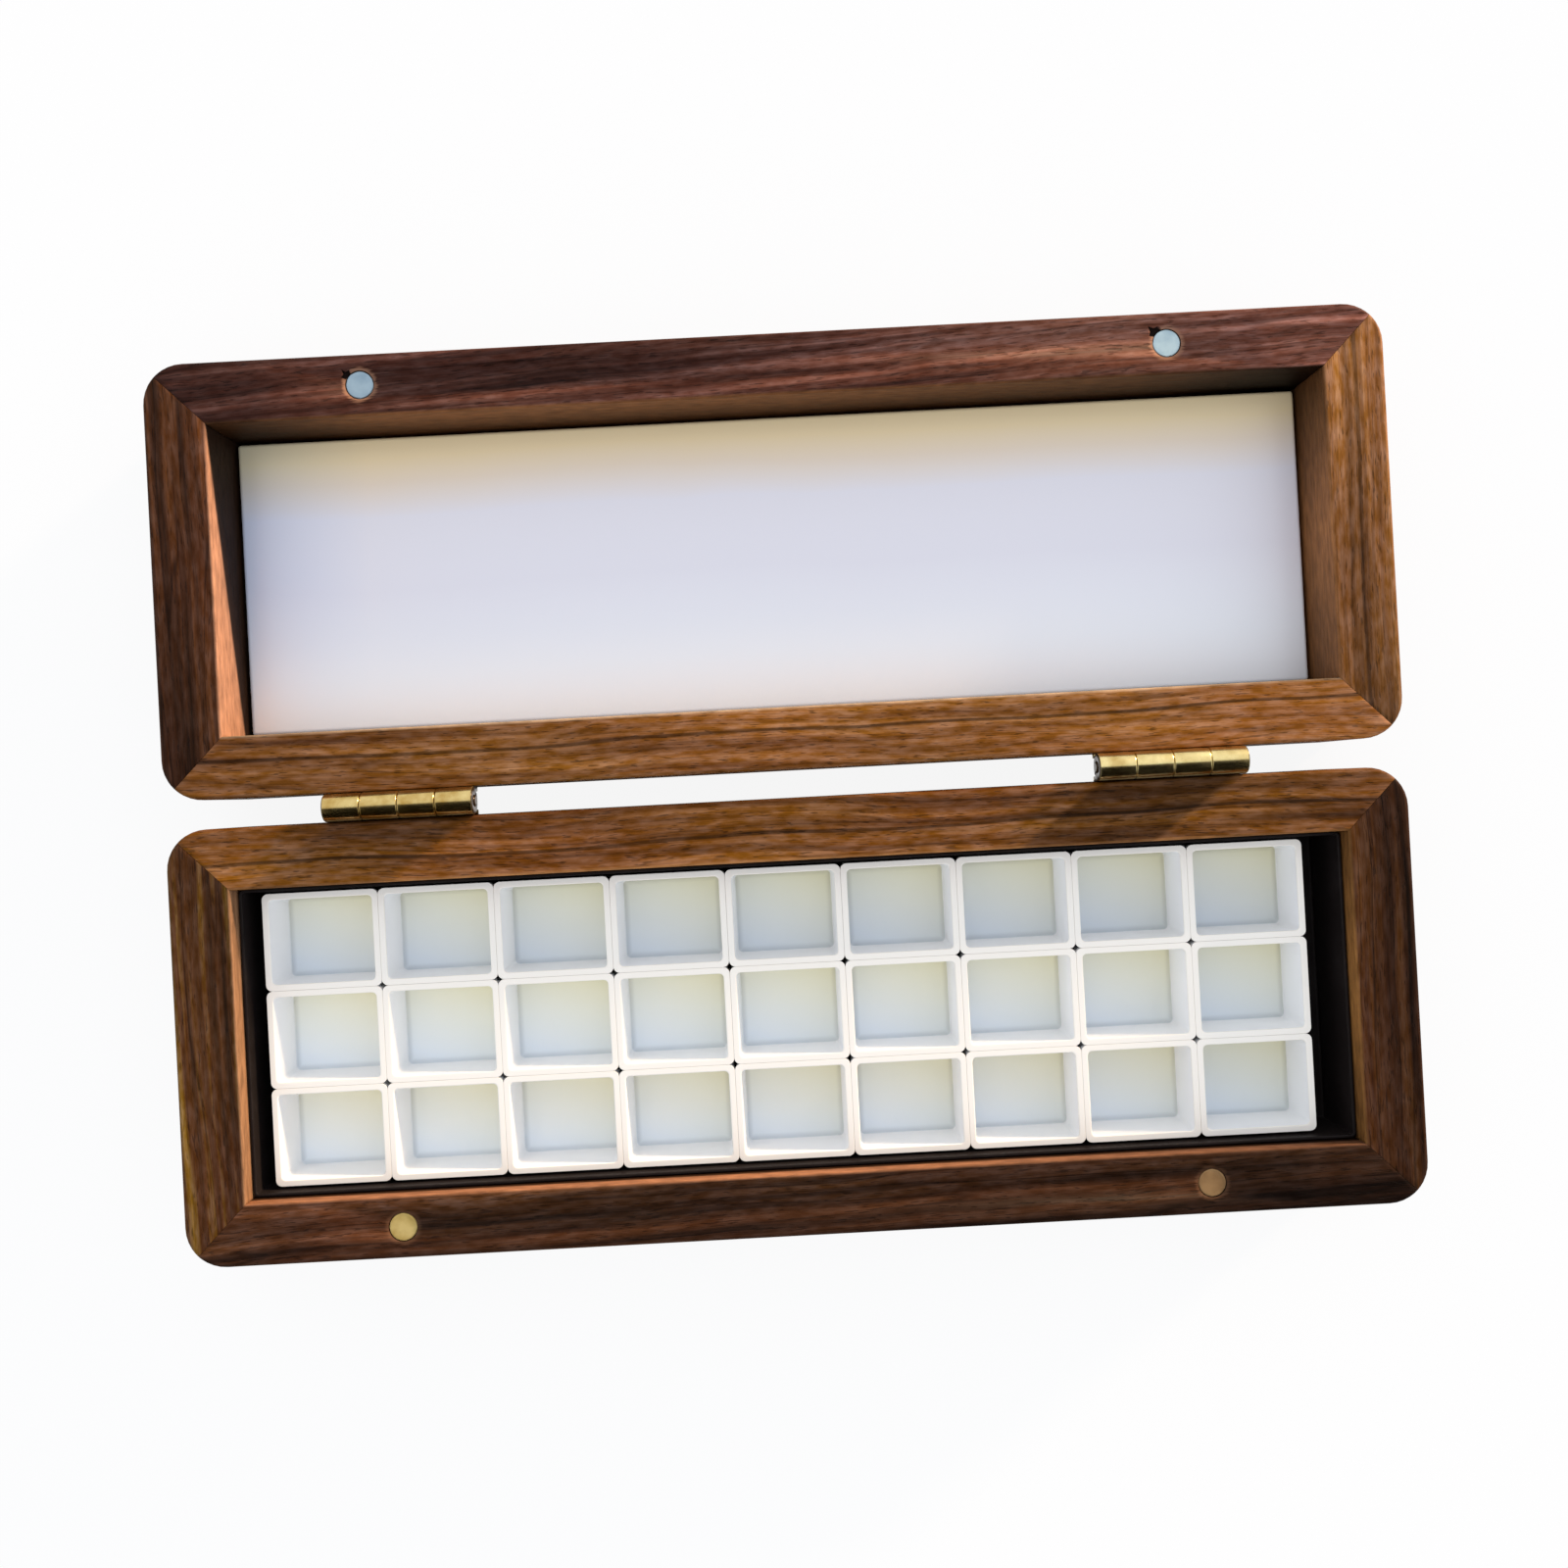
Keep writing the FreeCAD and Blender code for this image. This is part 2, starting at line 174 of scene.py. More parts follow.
# %% Profiles
def eased(corners, radii, steps=4, hold=0.15, closed=False):
    """A profile through 2-D corners, each rounded to its radius.

    Where the profile turns by an angle, the arc meets each side radius * tan(angle / 2) from the
    corner. A radius of 0 keeps the corner, as do the two ends of an open profile.
    """
    corners = np.asarray(corners, float)
    last = len(corners) - 1
    parts = []
    for k, (corner, radius) in enumerate(zip(corners, radii)):
        if radius == 0 or (not closed and k in (0, last)):
            parts.append(corner[None])
            continue
        arrive = corner - corners[k - 1]
        leave = corners[(k + 1) % len(corners)] - corner
        arrive, leave = arrive / np.hypot(*arrive), leave / np.hypot(*leave)
        turn = math.atan2(arrive[0] * leave[1] - arrive[1] * leave[0], arrive @ leave)
        reach = radius * math.tan(abs(turn) / 2)
        normal = np.array([-arrive[1], arrive[0]]) * math.copysign(1, turn)
        centre = corner - arrive * reach + normal * radius
        angle = np.linspace(0, turn, steps + 1)[:, None]
        spoke = -normal * radius
        across = np.array([-spoke[1], spoke[0]])
        arc = centre + spoke * np.cos(angle) + across * np.sin(angle)
        parts += [(corner - arrive * (reach + hold))[None], arc, (corner + leave * (reach + hold))[None]]
    return np.concatenate(parts)


def slab(low_z, high_z, inset, lower_ease, upper_ease, **more):
    """The profile of a flat piece: out along its underside, up its edge and back in along its top."""
    corners = [(-inset, low_z), (0, low_z), (0, high_z), (-inset, high_z)]
    return eased(corners, (0, lower_ease, upper_ease, 0), **more)


print("the profile of a slab has", len(slab(0, 4, 2.5, 0.25, 0.1)), "points")

# %% [markdown]
# A mesh needs faces that all point outwards. The volume that they enclose tells: if it comes out
# negative, they point inwards and are turned over.

# %% Meshes
SHARP_ANGLE = math.radians(35)  # a steeper edge is shaded as a sharp one


def signed_volume(points, faces):
    """Volume in cubic millimetres, positive if the faces point outwards: the sum over each face's
    triangles of one sixth of the triple product of their corners."""
    fans = [(face[0], a, b) for face in faces for a, b in zip(face[1:-1], face[2:])]
    a, b, c = (points[list(corner)] for corner in zip(*fans))
    return float(np.einsum("ij,ij->i", a, np.cross(b, c)).sum() / 6)


def make_piece(name, points, faces):
    """A mesh object in metres from points in millimetres, its faces pointing outwards."""
    points = np.asarray(points, float).reshape(-1, 3)
    if signed_volume(points - points.mean(axis=0), faces) < 0:
        faces = [face[::-1] for face in faces]
    mesh = bpy.data.meshes.new(name)
    mesh.from_pydata((points * MM).tolist(), [], faces)
    mesh.shade_smooth()
    mesh.set_sharp_from_angle(angle=SHARP_ANGLE)
    return put_in_scene(name, mesh)


def tube_piece(name, points):
    """A closed piece from a grid (rows, columns, 3) whose columns close up: quads between the rows,
    and one face over each end."""
    rows, columns = points.shape[:2]
    index = np.arange(rows * columns).reshape(rows, columns)
    ahead = np.roll(index, -1, axis=1)
    quads = np.stack([index[:-1], ahead[:-1], ahead[1:], index[1:]], axis=-1).reshape(-1, 4).tolist()
    return make_piece(name, points, quads + [index[0, ::-1].tolist(), index[-1].tolist()])


print("edges of over", round(math.degrees(SHARP_ANGLE)), "degrees are shaded sharp")

# %% [markdown]
# Cups, boards, discs and pins are all one shape: a stack of rounded rectangles, which are circles
# where the rounding takes up the whole side.


# %% Stacks of rounded rectangles
def rings(centre, half, corner, profile, least=0.3, steps=6):
    """Points of a body made of level rounded rectangles, one for each (outset, height) of its profile.

    A ring reaches half + outset from the centre, and its corner radius is corner + outset, but never
    under least. A square with corners as large as its half side is a circle, which gives a disc.
    """
    outset, height = (profile[:, k][:, None, None] for k in (0, 1))
    radius = np.clip(corner + outset, least, None)
    angle = np.radians(np.arange(4)[:, None] * 90 + np.linspace(0, 90, steps + 1))
    sign_x = np.array([1, -1, -1, 1])[:, None]
    sign_y = np.array([1, 1, -1, -1])[:, None]
    x = centre[0] + sign_x * (half[0] + outset - radius) + radius * np.cos(angle)
    y = centre[1] + sign_y * (half[1] + outset - radius) + radius * np.sin(angle)
    z = np.broadcast_to(height, x.shape)
    return np.stack([x, y, z], axis=-1).reshape(len(profile), -1, 3)


def ring_body(name, centre, size, corner, profile, **more):
    """A closed piece from such rings, of a given overall size."""
    return tube_piece(name, rings(centre, size[:2] / 2, corner, profile, **more))


print("a rounded rectangle has", rings((0, 0), (5, 5), 1, np.zeros((1, 2))).shape[1], "points")

# %% [markdown]
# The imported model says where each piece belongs. A new piece takes its size and place from the box of
# the node that it stands for, and rides on the body that the node belongs to.


# %% Places and bodies
def box_mm(node):
    """Lowest corner, highest corner and centre of a CAD node in millimetres."""
    low, high = (np.array(corner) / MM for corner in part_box(node))
    return low, high, (low + high) / 2


def finish_piece(piece, body, node, material):
    """Gives a piece its material and its body, and hides the CAD node that it stands for."""
    piece.data.materials.clear()
    piece.data.materials.append(material)
    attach(piece, body)
    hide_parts(node)


RAIL_WIDTH = round(float(np.ptp([corner[1] for corner in box_mm("base_rail_front")[:2]])), 3)
RAIL_HEIGHT = round(float(box_mm("base_rail_front")[1][2]), 3)
print("rails are", RAIL_WIDTH, "mm wide and", RAIL_HEIGHT, "mm high")

# %% [markdown]
# Oiled black walnut, planed and sanded. The eye gets four things from it: growth rings as wavy bands
# along the rail, a few thin dark late-wood lines, fine fibres, and the open pores as short dark
# dashes about 2 mm long and 0.2 mm wide. All of them are noise patterns stretched along the grain.
# Each rail is its own stick, so each gets its own tones, its own slope of the grain and its own place
# in the pattern.

# %% Walnut: where the figure lies
BAND_SCALE = (0.014, 0.55, 0.12)  # per mm, along, across and down: bands about 2 mm wide
MOTTLE_SCALE = (0.30, 1.1, 1.1)  # cloudy flecks 3 mm long and 1 mm wide
LINE_SCALE = (0.007, 0.20, 0.06)  # the slower pattern whose contours are the late-wood lines
FIBRE_SCALE = (0.07, 6.0, 6.0)  # fibres 0.15 mm wide
PORE_SCALE = (0.42, 3.6, 3.6)  # pores 2 mm long, drawn 0.25 mm wide so that they show
WANDER_SCALE = (0.022, 0.06, 0.06)
RING_LEAN = 0.6  # how far the rings lean outwards for each mm of height
SEED_STEPS = np.array([3.1, 7.7, 1.0])  # carry a stick's seed to its own place in the patterns
PATTERNS = {"band": (BAND_SCALE, 4.0), "line": (LINE_SCALE, 1.0), "mottle": (MOTTLE_SCALE, 3.0),
            "fibre": (FIBRE_SCALE, 3.0), "pore": (PORE_SCALE, 1.0)}
PLAIN_STICK = dict(
    outer_sign=1, tilt=0.0, lines=0.35, pores=0.45, wander=3.0, drift=(1.0, 1.0, 1.0),
    across=((0, 1.0), (10, 1.0)), veins=(), seed=0.0, bare="#b27a46", bare_drift=(1.0, 1.0, 1.0),
    foot=0.45, foot_band=(9.0, 17.5), foot_slope=0.0, corners=0.5, pockets=None, hinge_grime=None)


def figure_place(add, box, stick):
    """Coordinates of a stick in millimetres, and its noise patterns.

    Along runs from its middle, depth from its outer face inwards, and rise from half its height. The
    rings' own coordinate is depth + tilt * along + wander * noise + RING_LEAN * rise.
    """
    low, high, centre = box
    turned = high[1] - low[1] > high[0] - low[0]
    shift = (-centre[1], centre[0], 0) if turned else (-centre[0], -centre[1], 0)
    object_mm = add("Mapping", add("TexCoord").outputs["Object"], shift,
                    (0, 0, -math.pi / 2 if turned else 0), (1 / MM, 1 / MM, 1 / MM))
    along, side, height = add("SeparateXYZ", object_mm).outputs
    depth = add("Math:MULTIPLY_ADD", side, stick.outer_sign, RAIL_WIDTH / 2)
    wandering = add("Mapping", object_mm, (stick.seed, stick.seed, 0), (0, 0, 0), WANDER_SCALE)
    wandering = add("TexNoise", wandering, 1.0, 2.0)
    sloped = add("Math:MULTIPLY_ADD", along, stick.tilt, depth)
    wandered = add("Math:MULTIPLY_ADD", wandering, stick.wander, sloped)
    rise = add("Math:SUBTRACT", height, RAIL_HEIGHT / 2)
    ring = add("Math:MULTIPLY_ADD", rise, RING_LEAN, wandered)
    grain = add("CombineXYZ", along, ring, height)
    at = SimpleNamespace(half=max((high - low)[:2]) / 2, along=along, depth=depth, height=height, rise=rise,
                         sloped=sloped, wandering=wandering, wandered=wandered)
    for name, (scale, detail) in PATTERNS.items():
        place = add("Mapping", grain, stick.seed * SEED_STEPS, (0, 0, 0), scale)
        setattr(at, name, add("TexNoise", place, 1.0, detail))
    return at


print("patterns in the wood:", ", ".join(PATTERNS))

# %% [markdown]
# The tones run through the bands. Everything else makes them darker or lighter: fibres, clouds, the dark
# lines, the pores, a few veins that cross a rail from end to end, and a slow drift along it and across it.
# The drifts are partly the wood's own tone and partly painted sheen and shade that fell along the rail. The
# late-wood lines are contours of the slow noise, as on a map.

# %% Walnut: the figure
NOISE_SPREAD = (0.3, 0.7)  # a noise pattern's values hardly leave this range
MIDDLE_SPREAD = (0.35, 0.65)
FIBRE_SHADES = (0.80, 1.20)  # the darkest and the palest share that fibres leave
CLOUD_SHADES = (0.72, 1.28)
HUES = (0.497, 0.503)  # 0.5 leaves the hue as it is
RICHNESS = (1.10, 0.90)
LINE_COUNT = 7.0  # contours over the full range of the slow noise
LINE_SHARE = 0.09  # half the share of the wood that they take up
PORE_RANGE = (0.60, 0.70)  # between these the pores' noise turns into an open pore
RAMP_SHARE = 2.0  # a ramp holds values up to 1, so drifts are halved in it


def drift_stops(values):
    """Stops for values at the start, in the middle and at the end, the middle one last."""
    start, middle, end = values
    return ((0.0, start), (1.0, end), (0.5, middle))


def figured_wood(add, at, stick):
    """The tones of the bands, times the share that each feature leaves of them."""
    dark, middle, light = stick.tones
    wood = add("ValToRGB", at.band, stops=(*zip(NOISE_SPREAD, (dark, light)), (0.5, middle)))
    contour = add("Math:PINGPONG", add("Math:MULTIPLY", at.line, LINE_COUNT), 0.5)
    late = add("MapRange", contour, 0.0, LINE_SHARE, 1.0, 0.0, **SMOOTH)
    at.open_pore = add("MapRange", at.pore, *PORE_RANGE, **SMOOTH)
    at.fibres = add("MapRange", at.fibre, *NOISE_SPREAD, *FIBRE_SHADES)
    at.clouds = add("MapRange", at.mottle, *NOISE_SPREAD, *CLOUD_SHADES)
    value = add("Math:MULTIPLY", at.fibres, at.clouds)
    for mask, share in ((late, stick.lines), (at.open_pore, stick.pores)):
        value = add("Math:MULTIPLY", value, add("Math:MULTIPLY_ADD", mask, -share, 1.0))
    for start, slope, width, strength in stick.veins:
        middle_line = add("Math:MULTIPLY_ADD", at.along, -slope, at.sloped)
        bent = add("Math:MULTIPLY_ADD", at.wandering, stick.wander, middle_line)
        off = add("Math:ABSOLUTE", add("Math:SUBTRACT", bent, start + stick.wander / 2))
        kept = add("MapRange", off, width / 3, width, 1.0 - strength, 1.0, **SMOOTH)
        value = add("Math:MULTIPLY", value, kept)
    at.share_along = add("MapRange", at.along, -at.half, at.half)
    # The drifts along and across: the wood's tone together with painted sheen and shade.
    for source, start, end, stops in (
            (at.share_along, 0.0, 1.0, drift_stops(stick.drift)),
            (at.wandered, stick.wander / 2, stick.wander / 2 + RAIL_WIDTH,
             [(depth / RAIL_WIDTH, share) for depth, share in stick.across])):
        ramp = add("ValToRGB", add("MapRange", source, start, end),
                   stops=[(position, share / RAMP_SHARE) for position, share in stops])
        value = add("Math:MULTIPLY", value, add("Math:MULTIPLY", ramp, RAMP_SHARE))
    redder = add("MapRange", at.wandering, *MIDDLE_SPREAD, *HUES)
    richer = add("MapRange", at.mottle, *MIDDLE_SPREAD, *RICHNESS)
    return add("HueSaturation", {"Color": wood, "Hue": redder, "Saturation": richer, "Value": value})


print("the slow noise changes over", 1 / LINE_SCALE[1], "mm and has", LINE_COUNT, "contours")

# %% [markdown]
# Wood away from the rim was never darkened by handling, so the inner faces are paler. Painted shade comes on
# top: they darken towards the foot and into the corners, where the trays' shadows fall, and a fade along
# each face follows the light and shade on it.

# %% Walnut: inner faces
CORNER_SHADE_REACH = 42.0  # the painted shade in a corner starts this far from the rail's end


def inner_wood(add, at, stick):
    """The bare colour down to the upper height of the foot's band, and foot times that below the lower one.
    The band may slope along the stick. The darkening at the foot and in the corners, and the fade along the
    stick, are painted light and shade."""
    risen = add("Math:MULTIPLY_ADD", at.along, -stick.foot_slope, at.height)
    value = add("MapRange", risen, *stick.foot_band, stick.foot, 1.0)
    painted_fade = add("ValToRGB", at.share_along, stops=drift_stops(stick.bare_drift))
    at.from_middle = add("Math:ABSOLUTE", at.along)
    cornered = add("MapRange", at.from_middle, at.half - CORNER_SHADE_REACH, at.half - RAIL_WIDTH,
                   1.0, stick.corners, **SMOOTH)
    for share in (cornered, painted_fade, at.fibres, at.clouds):
        value = add("Math:MULTIPLY", value, share)
    return add("HueSaturation", {"Color": linear(stick.bare), "Value": value})


print("painted corner shade reaches", CORNER_SHADE_REACH, "mm")

# %% [markdown]
# Two more marks come on top. Drilling a magnet's pocket left a ring of raw, paler wood round it, and wood
# sunk below the rim near a pocket, where a chip tore out and down the pocket's wall, is coloured nearly
# black. Beside each hinge a slanting dark patch is painted shadow: the shadow that the barrel casts on the
# rail. Both fade out down the outer face.

# %% Walnut: pockets and painted hinge shadows
TORN_RADIUS = (3.0, 3.7)  # from a pocket's centre out to where the raw wood ends
TORN_RAGGED = 1.2  # how far the pores' noise pushes that edge about
TORN_FALL = 0.3  # a mm below the rim counts as so much further away
CHIP_REACH = 4.6  # sunken wood this near to a pocket is coloured as a chip
CHIP_TOP = (0.22, 0.03)  # below the rim, from fully dark to clean
CHIP_COLOUR = "#150b07"
SHADOW_EDGE = 1.0  # half the width of the painted shadow's soft edge
SHADOW_WANDER = 3.0
SHADOW_FALL = 0.8


def torn_pockets(add, at, colour, pockets):
    """Raw and chipped wood round two pockets, in the middle of the rail's width."""
    pocket_along, raw_colour, strength = pockets
    far = add("Math:SUBTRACT", at.from_middle, pocket_along)
    near = add("Math:SUBTRACT", at.depth, RAIL_WIDTH / 2)
    under = add("Math:MULTIPLY_ADD", at.rise, TORN_FALL, -TORN_FALL * RAIL_HEIGHT / 2)
    distance = add("VectorMath:LENGTH", add("CombineXYZ", far, near, under))
    ragged = add("Math:MULTIPLY_ADD", at.pore, TORN_RAGGED, distance)
    torn = add("MapRange", ragged, *TORN_RADIUS, strength, 0.0, **SMOOTH)
    close_by = add("Math:LESS_THAN", distance, CHIP_REACH)
    sunk = add("MapRange", at.rise, *(RAIL_HEIGHT / 2 - drop for drop in CHIP_TOP), 1.0, 0.0)
    chipped = add("Math:MULTIPLY", sunk, close_by)
    for mask, tone in ((torn, raw_colour), (chipped, CHIP_COLOUR)):
        colour = add("Mix:RGBA", mask, colour, linear(tone))
    return colour


def painted_hinge_shadows(add, at, colour, hinge_grime):
    """A painted shadow beside each hinge, a slanting dark patch: reach along the rail, slope, and what it
    leaves.
    """
    hinge_along, reach, slope, shares = hinge_grime
    trailing = add("Math:MULTIPLY_ADD", at.depth, slope, at.along)
    cloud = add("Math:MULTIPLY_ADD", at.wandering, SHADOW_WANDER, trailing)
    under = add("Math:MULTIPLY_ADD", at.rise, -SHADOW_FALL, SHADOW_FALL * RAIL_HEIGHT / 2)
    for centre, share in zip((-hinge_along, hinge_along), shares):
        off = add("Math:SUBTRACT", cloud, centre + SHADOW_WANDER / 2)
        off = add("Math:ADD", add("Math:ABSOLUTE", off), under)
        shadowed = add("MapRange", off, reach - SHADOW_EDGE, reach + SHADOW_EDGE, share, 1.0, **SMOOTH)
        colour = add("HueSaturation", {"Color": colour, "Value": shadowed})
    return colour


print("raw wood ends", TORN_RADIUS[1], "mm from a pocket's centre")

# %% [markdown]
# The whole finish joins these, and oil leaves the wood nearly matt. The pores are sunk into it, and
# the fibres stand a little proud.

# %% Walnut: the finish
OIL_ROUGHNESS = (0.46, 0.62)
PORE_DEPTH = 1.6  # next to the height of a fibre
GRAIN_RELIEF = (0.55, 0.06)  # strength, and depth in mm


def walnut(node, **figure):
    """The material of one stick. Its inner faces are painted with the attribute bare."""
    material, shader, add = new_material("oiled_walnut_" + node)
    stick = SimpleNamespace(**{**PLAIN_STICK, **figure})
    at = figure_place(add, box_mm(node), stick)
    toned = figured_wood(add, at, stick)
    inner = add("Attribute", attribute_name="bare").outputs["Fac"]
    colour = add("Mix:RGBA", inner, toned, inner_wood(add, at, stick))
    if stick.pockets:
        colour = torn_pockets(add, at, colour, stick.pockets)
    # Painted shadows of the hinge barrels.
    if stick.hinge_grime:
        colour = painted_hinge_shadows(add, at, colour, stick.hinge_grime)
    relief = add("Math:MULTIPLY_ADD", at.open_pore, -PORE_DEPTH, at.fibre)
    coat(add, shader, colour, (at.fibre, *NOISE_SPREAD, *OIL_ROUGHNESS), (relief, *GRAIN_RELIEF),
         IOR=1.45, Specular_IOR_Level=0.08)
    return material


print("oil leaves a roughness of", *OIL_ROUGHNESS)

# %% [markdown]
# Most sticks are dark heartwood and some paler, towards the sapwood. The sign says on which side the outer
# face lies, a drift has a value at the start, in the middle and at the end, and across has pairs of depth
# and value. The drifts and across values carry painted sheen and shade besides the wood's tone, and foot,
# corners and bare drift paint shade on the inner faces. A vein has its depth, slope, width and strength, and
# pockets and the painted hinge shadow have the place along first.

# %% Walnut: the sticks
STICKS = {
    "lid_rail_front": dict(
        outer_sign=-1, tones=("#311a14", "#4f2f25", "#7a5144"), tilt=0.045, seed=33.5,
        # Its inner face darkens in painted shade at the foot, in the corners and towards the right end.
        drift=(0.60, 0.98, 1.90), bare="#a86f42", bare_drift=(0.62, 0.48, 0.14), foot=0.3, corners=0.25,
        pockets=(65.0, "#b08468", 0.5)),
    "lid_rail_back": dict(
        outer_sign=1, tones=("#573319", "#84552d", "#a26c3a"), tilt=0.010, lines=0.28, seed=31.8,
        pores=0.55, drift=(0.68, 1.14, 1.18), across=((0, 0.95), (10, 1.0), (6.5, 1.0), (8.2, 1.08)),
        veins=((6.4, 0.016, 0.42, 0.62),), bare="#b49878"),
    "lid_rail_left": dict(
        outer_sign=-1, tones=("#211208", "#3c2213", "#5c371e"), tilt=0.02, lines=0.5, seed=37.5,
        drift=(0.84, 1.21, 1.27), across=((0, 0.95), (10, 1.75), (6.0, 0.95), (7.5, 1.5)), bare="#ae7f62",
        # Its nearly black foot, rising along the rail, is the painted shadow of the far rail.
        foot=0.06, foot_band=(14.2, 14.9), foot_slope=0.2, corners=1.0),
    "lid_rail_right": dict(
        outer_sign=1, tones=("#54341c", "#7d532f", "#98693a"), tilt=0.01, lines=0.25, seed=45.6,
        drift=(0.64, 1.09, 1.76),
        across=((0, 1.0), (10, 1.2), (3.4, 0.98), (4.2, 0.78), (6.8, 0.82), (7.6, 1.18)),
        veins=((5.0, 0.0, 0.5, 0.45),), bare="#b77c4c", bare_drift=(1.0, 0.8, 0.4), foot=0.7),
    "base_rail_front": dict(
        outer_sign=1, tones=("#211209", "#3c2415", "#553520"), tilt=-0.03, lines=0.4, seed=54.2,
        # Its inner face fades into painted shade towards the right, and goes nearly black below a narrow
        # band under the rim: painted shade.
        drift=(1.52, 1.06, 0.53), across=((0, 0.78), (10, 1.4)), bare="#956444", bare_drift=(1.0, 1.15, 0.3),
        foot=0.1, foot_band=(17.1, 17.8), corners=1.0, pockets=(65.0, "#8a6448", 0.2)),
    "base_rail_back": dict(
        outer_sign=-1, tones=("#472912", "#754924", "#966232"), tilt=-0.012, lines=0.3, seed=49.2,
        pores=0.5, drift=(1.09, 0.99, 1.00), across=((0, 0.9), (10, 1.02), (5.0, 1.0)),
        # The last entry paints the shadows of the hinge barrels onto this rail.
        veins=((5.6, -0.018, 0.42, 0.62),), hinge_grime=(62.0, 11.0, 1.4, (0.72, 0.52))),
    "base_rail_left": dict(
        outer_sign=-1, tones=("#27170b", "#472a16", "#6d5021"), tilt=0.015, lines=0.45, seed=60.5,
        drift=(1.02, 1.24, 0.92), across=((0, 1.3), (10, 0.85), (5.0, 1.3)), bare="#916b4c", corners=1.0),
    "base_rail_right": dict(
        outer_sign=1, tones=("#201007", "#3d2312", "#57361a"), tilt=-0.01, lines=0.5, seed=61.3,
        drift=(0.94, 0.89, 1.18), across=((0, 0.78), (10, 1.45), (3.0, 0.88), (7.2, 1.02), (8.6, 1.3)),
        bare="#9a6a38"),
}
print(len(STICKS), "sticks")

# %% [markdown]
# A rail is a stick of one section, with a rebate for the panel along its lower inner edge. Its inner
# face is left bare, and an attribute on the mesh tells the material where that is.

# %% Rail section
PANEL_THICKNESS = 4.0
REBATE_WIDTH = 5.0
OUTER_EASE = 0.6
INNER_EASE = 0.35

section = eased(
    [(0, 0), (RAIL_WIDTH - REBATE_WIDTH, 0), (RAIL_WIDTH - REBATE_WIDTH, PANEL_THICKNESS),
     (RAIL_WIDTH, PANEL_THICKNESS), (RAIL_WIDTH, RAIL_HEIGHT), (0, RAIL_HEIGHT)],
    (OUTER_EASE, 0.25, 0, 0.12, INNER_EASE, OUTER_EASE), steps=5, closed=True)
# The attribute goes from 0 to 1 over the eased edge between the rim and the inner face.
bare_share = np.clip((section[:, 0] - (RAIL_WIDTH - INNER_EASE - 0.15)) / (INNER_EASE + 0.1), 0, 1)
print("a rail's section has", len(section), "points")

# %% [markdown]
# The rail's two ends are cut at 45 degrees, and the outer corner of the box is rounded, so near each
# mitre the outer face follows a quarter arc while the inner face runs straight on to the inner corner.
# The section is carried along the rail: far from the ends its lines stand square to the rail, and over
# the last stretch they fan out until the last one lies in the mitre. That keeps one grid from end to
# end. At the very end the section draws in a little, which leaves the fine groove of a glued mitre.

# %% Rail grid
CORNER_RADIUS = 6.5
FAN_INSET = 18.0  # from the end of the rail to where its lines start to fan out
MITRE_GROOVE = 0.05
MITRE_REACH = 0.006  # the groove's share of the fan
MITRE_GAP = 0.0012  # the glue line's share of it


def tray_half(half):
    """Half the length and half the width of one tray, from its outer faces."""
    return ((box_mm(f"{half}_rail_right")[1] - box_mm(f"{half}_rail_left")[0])[0] / 2,
            abs((box_mm(f"{half}_rail_back")[2] - box_mm(f"{half}_rail_front")[2])[1]) / 2 + RAIL_WIDTH / 2)


def fan(half, share, depth):
    """Along and across positions near the rail's end, at a share of the way to the mitre.

    The outer line runs on straight and then round the corner's arc, at an even pace. The inner line
    runs to the inner corner. Within 1 mm of either face a point keeps its depth square to that face,
    and between them it lies on the straight line from one to the other.
    """
    straight = FAN_INSET - CORNER_RADIUS
    travelled = share * (straight + CORNER_RADIUS * math.pi / 4)
    angle = np.clip((travelled - straight) / CORNER_RADIUS, 0, None)
    from_arc = CORNER_RADIUS - np.clip(depth, 0, 1)
    outer_along = half - FAN_INSET + np.minimum(travelled, straight) + from_arc * np.sin(angle)
    outer_across = CORNER_RADIUS - from_arc * np.cos(angle)
    left_over = np.clip(RAIL_WIDTH - depth, 0, 1)
    inner_along = half - FAN_INSET + share * (FAN_INSET - RAIL_WIDTH + left_over)
    inner_across = RAIL_WIDTH - left_over
    blend = np.clip((depth - 1) / (RAIL_WIDTH - 2), 0, 1)
    return (outer_along + blend * (inner_along - outer_along),
            outer_across + blend * (inner_across - outer_across))


def rail_grid(half):
    """Points (along, across, height) of a rail: section lines from one mitre to the other."""
    shares = np.array([
        0.0, 0.15, 0.3, 0.45, 0.55, 0.62, 0.69, 0.76, 0.83, 0.9, 0.95, 1 - MITRE_REACH, 1 - MITRE_GAP])
    depth, height = section.T
    lines = []
    for share in shares:
        groove = MITRE_GROOVE if share == shares[-1] else 0
        along, across = fan(half, share, np.clip(depth, groove, RAIL_WIDTH - groove))
        lines.append(np.stack([along, across, np.clip(height, groove, RAIL_HEIGHT - groove)], axis=-1))
    right = np.array(lines)
    return np.concatenate([right[::-1] * (-1, 1, 1), right])


print("a rail's grid has", rail_grid(RAIL_WIDTH).shape[0], "lines")

# %% [markdown]
# All eight rails come from that one grid. A left or right rail runs along Y instead of X, and in each
# the depth runs from the outer face towards the tray's panel.


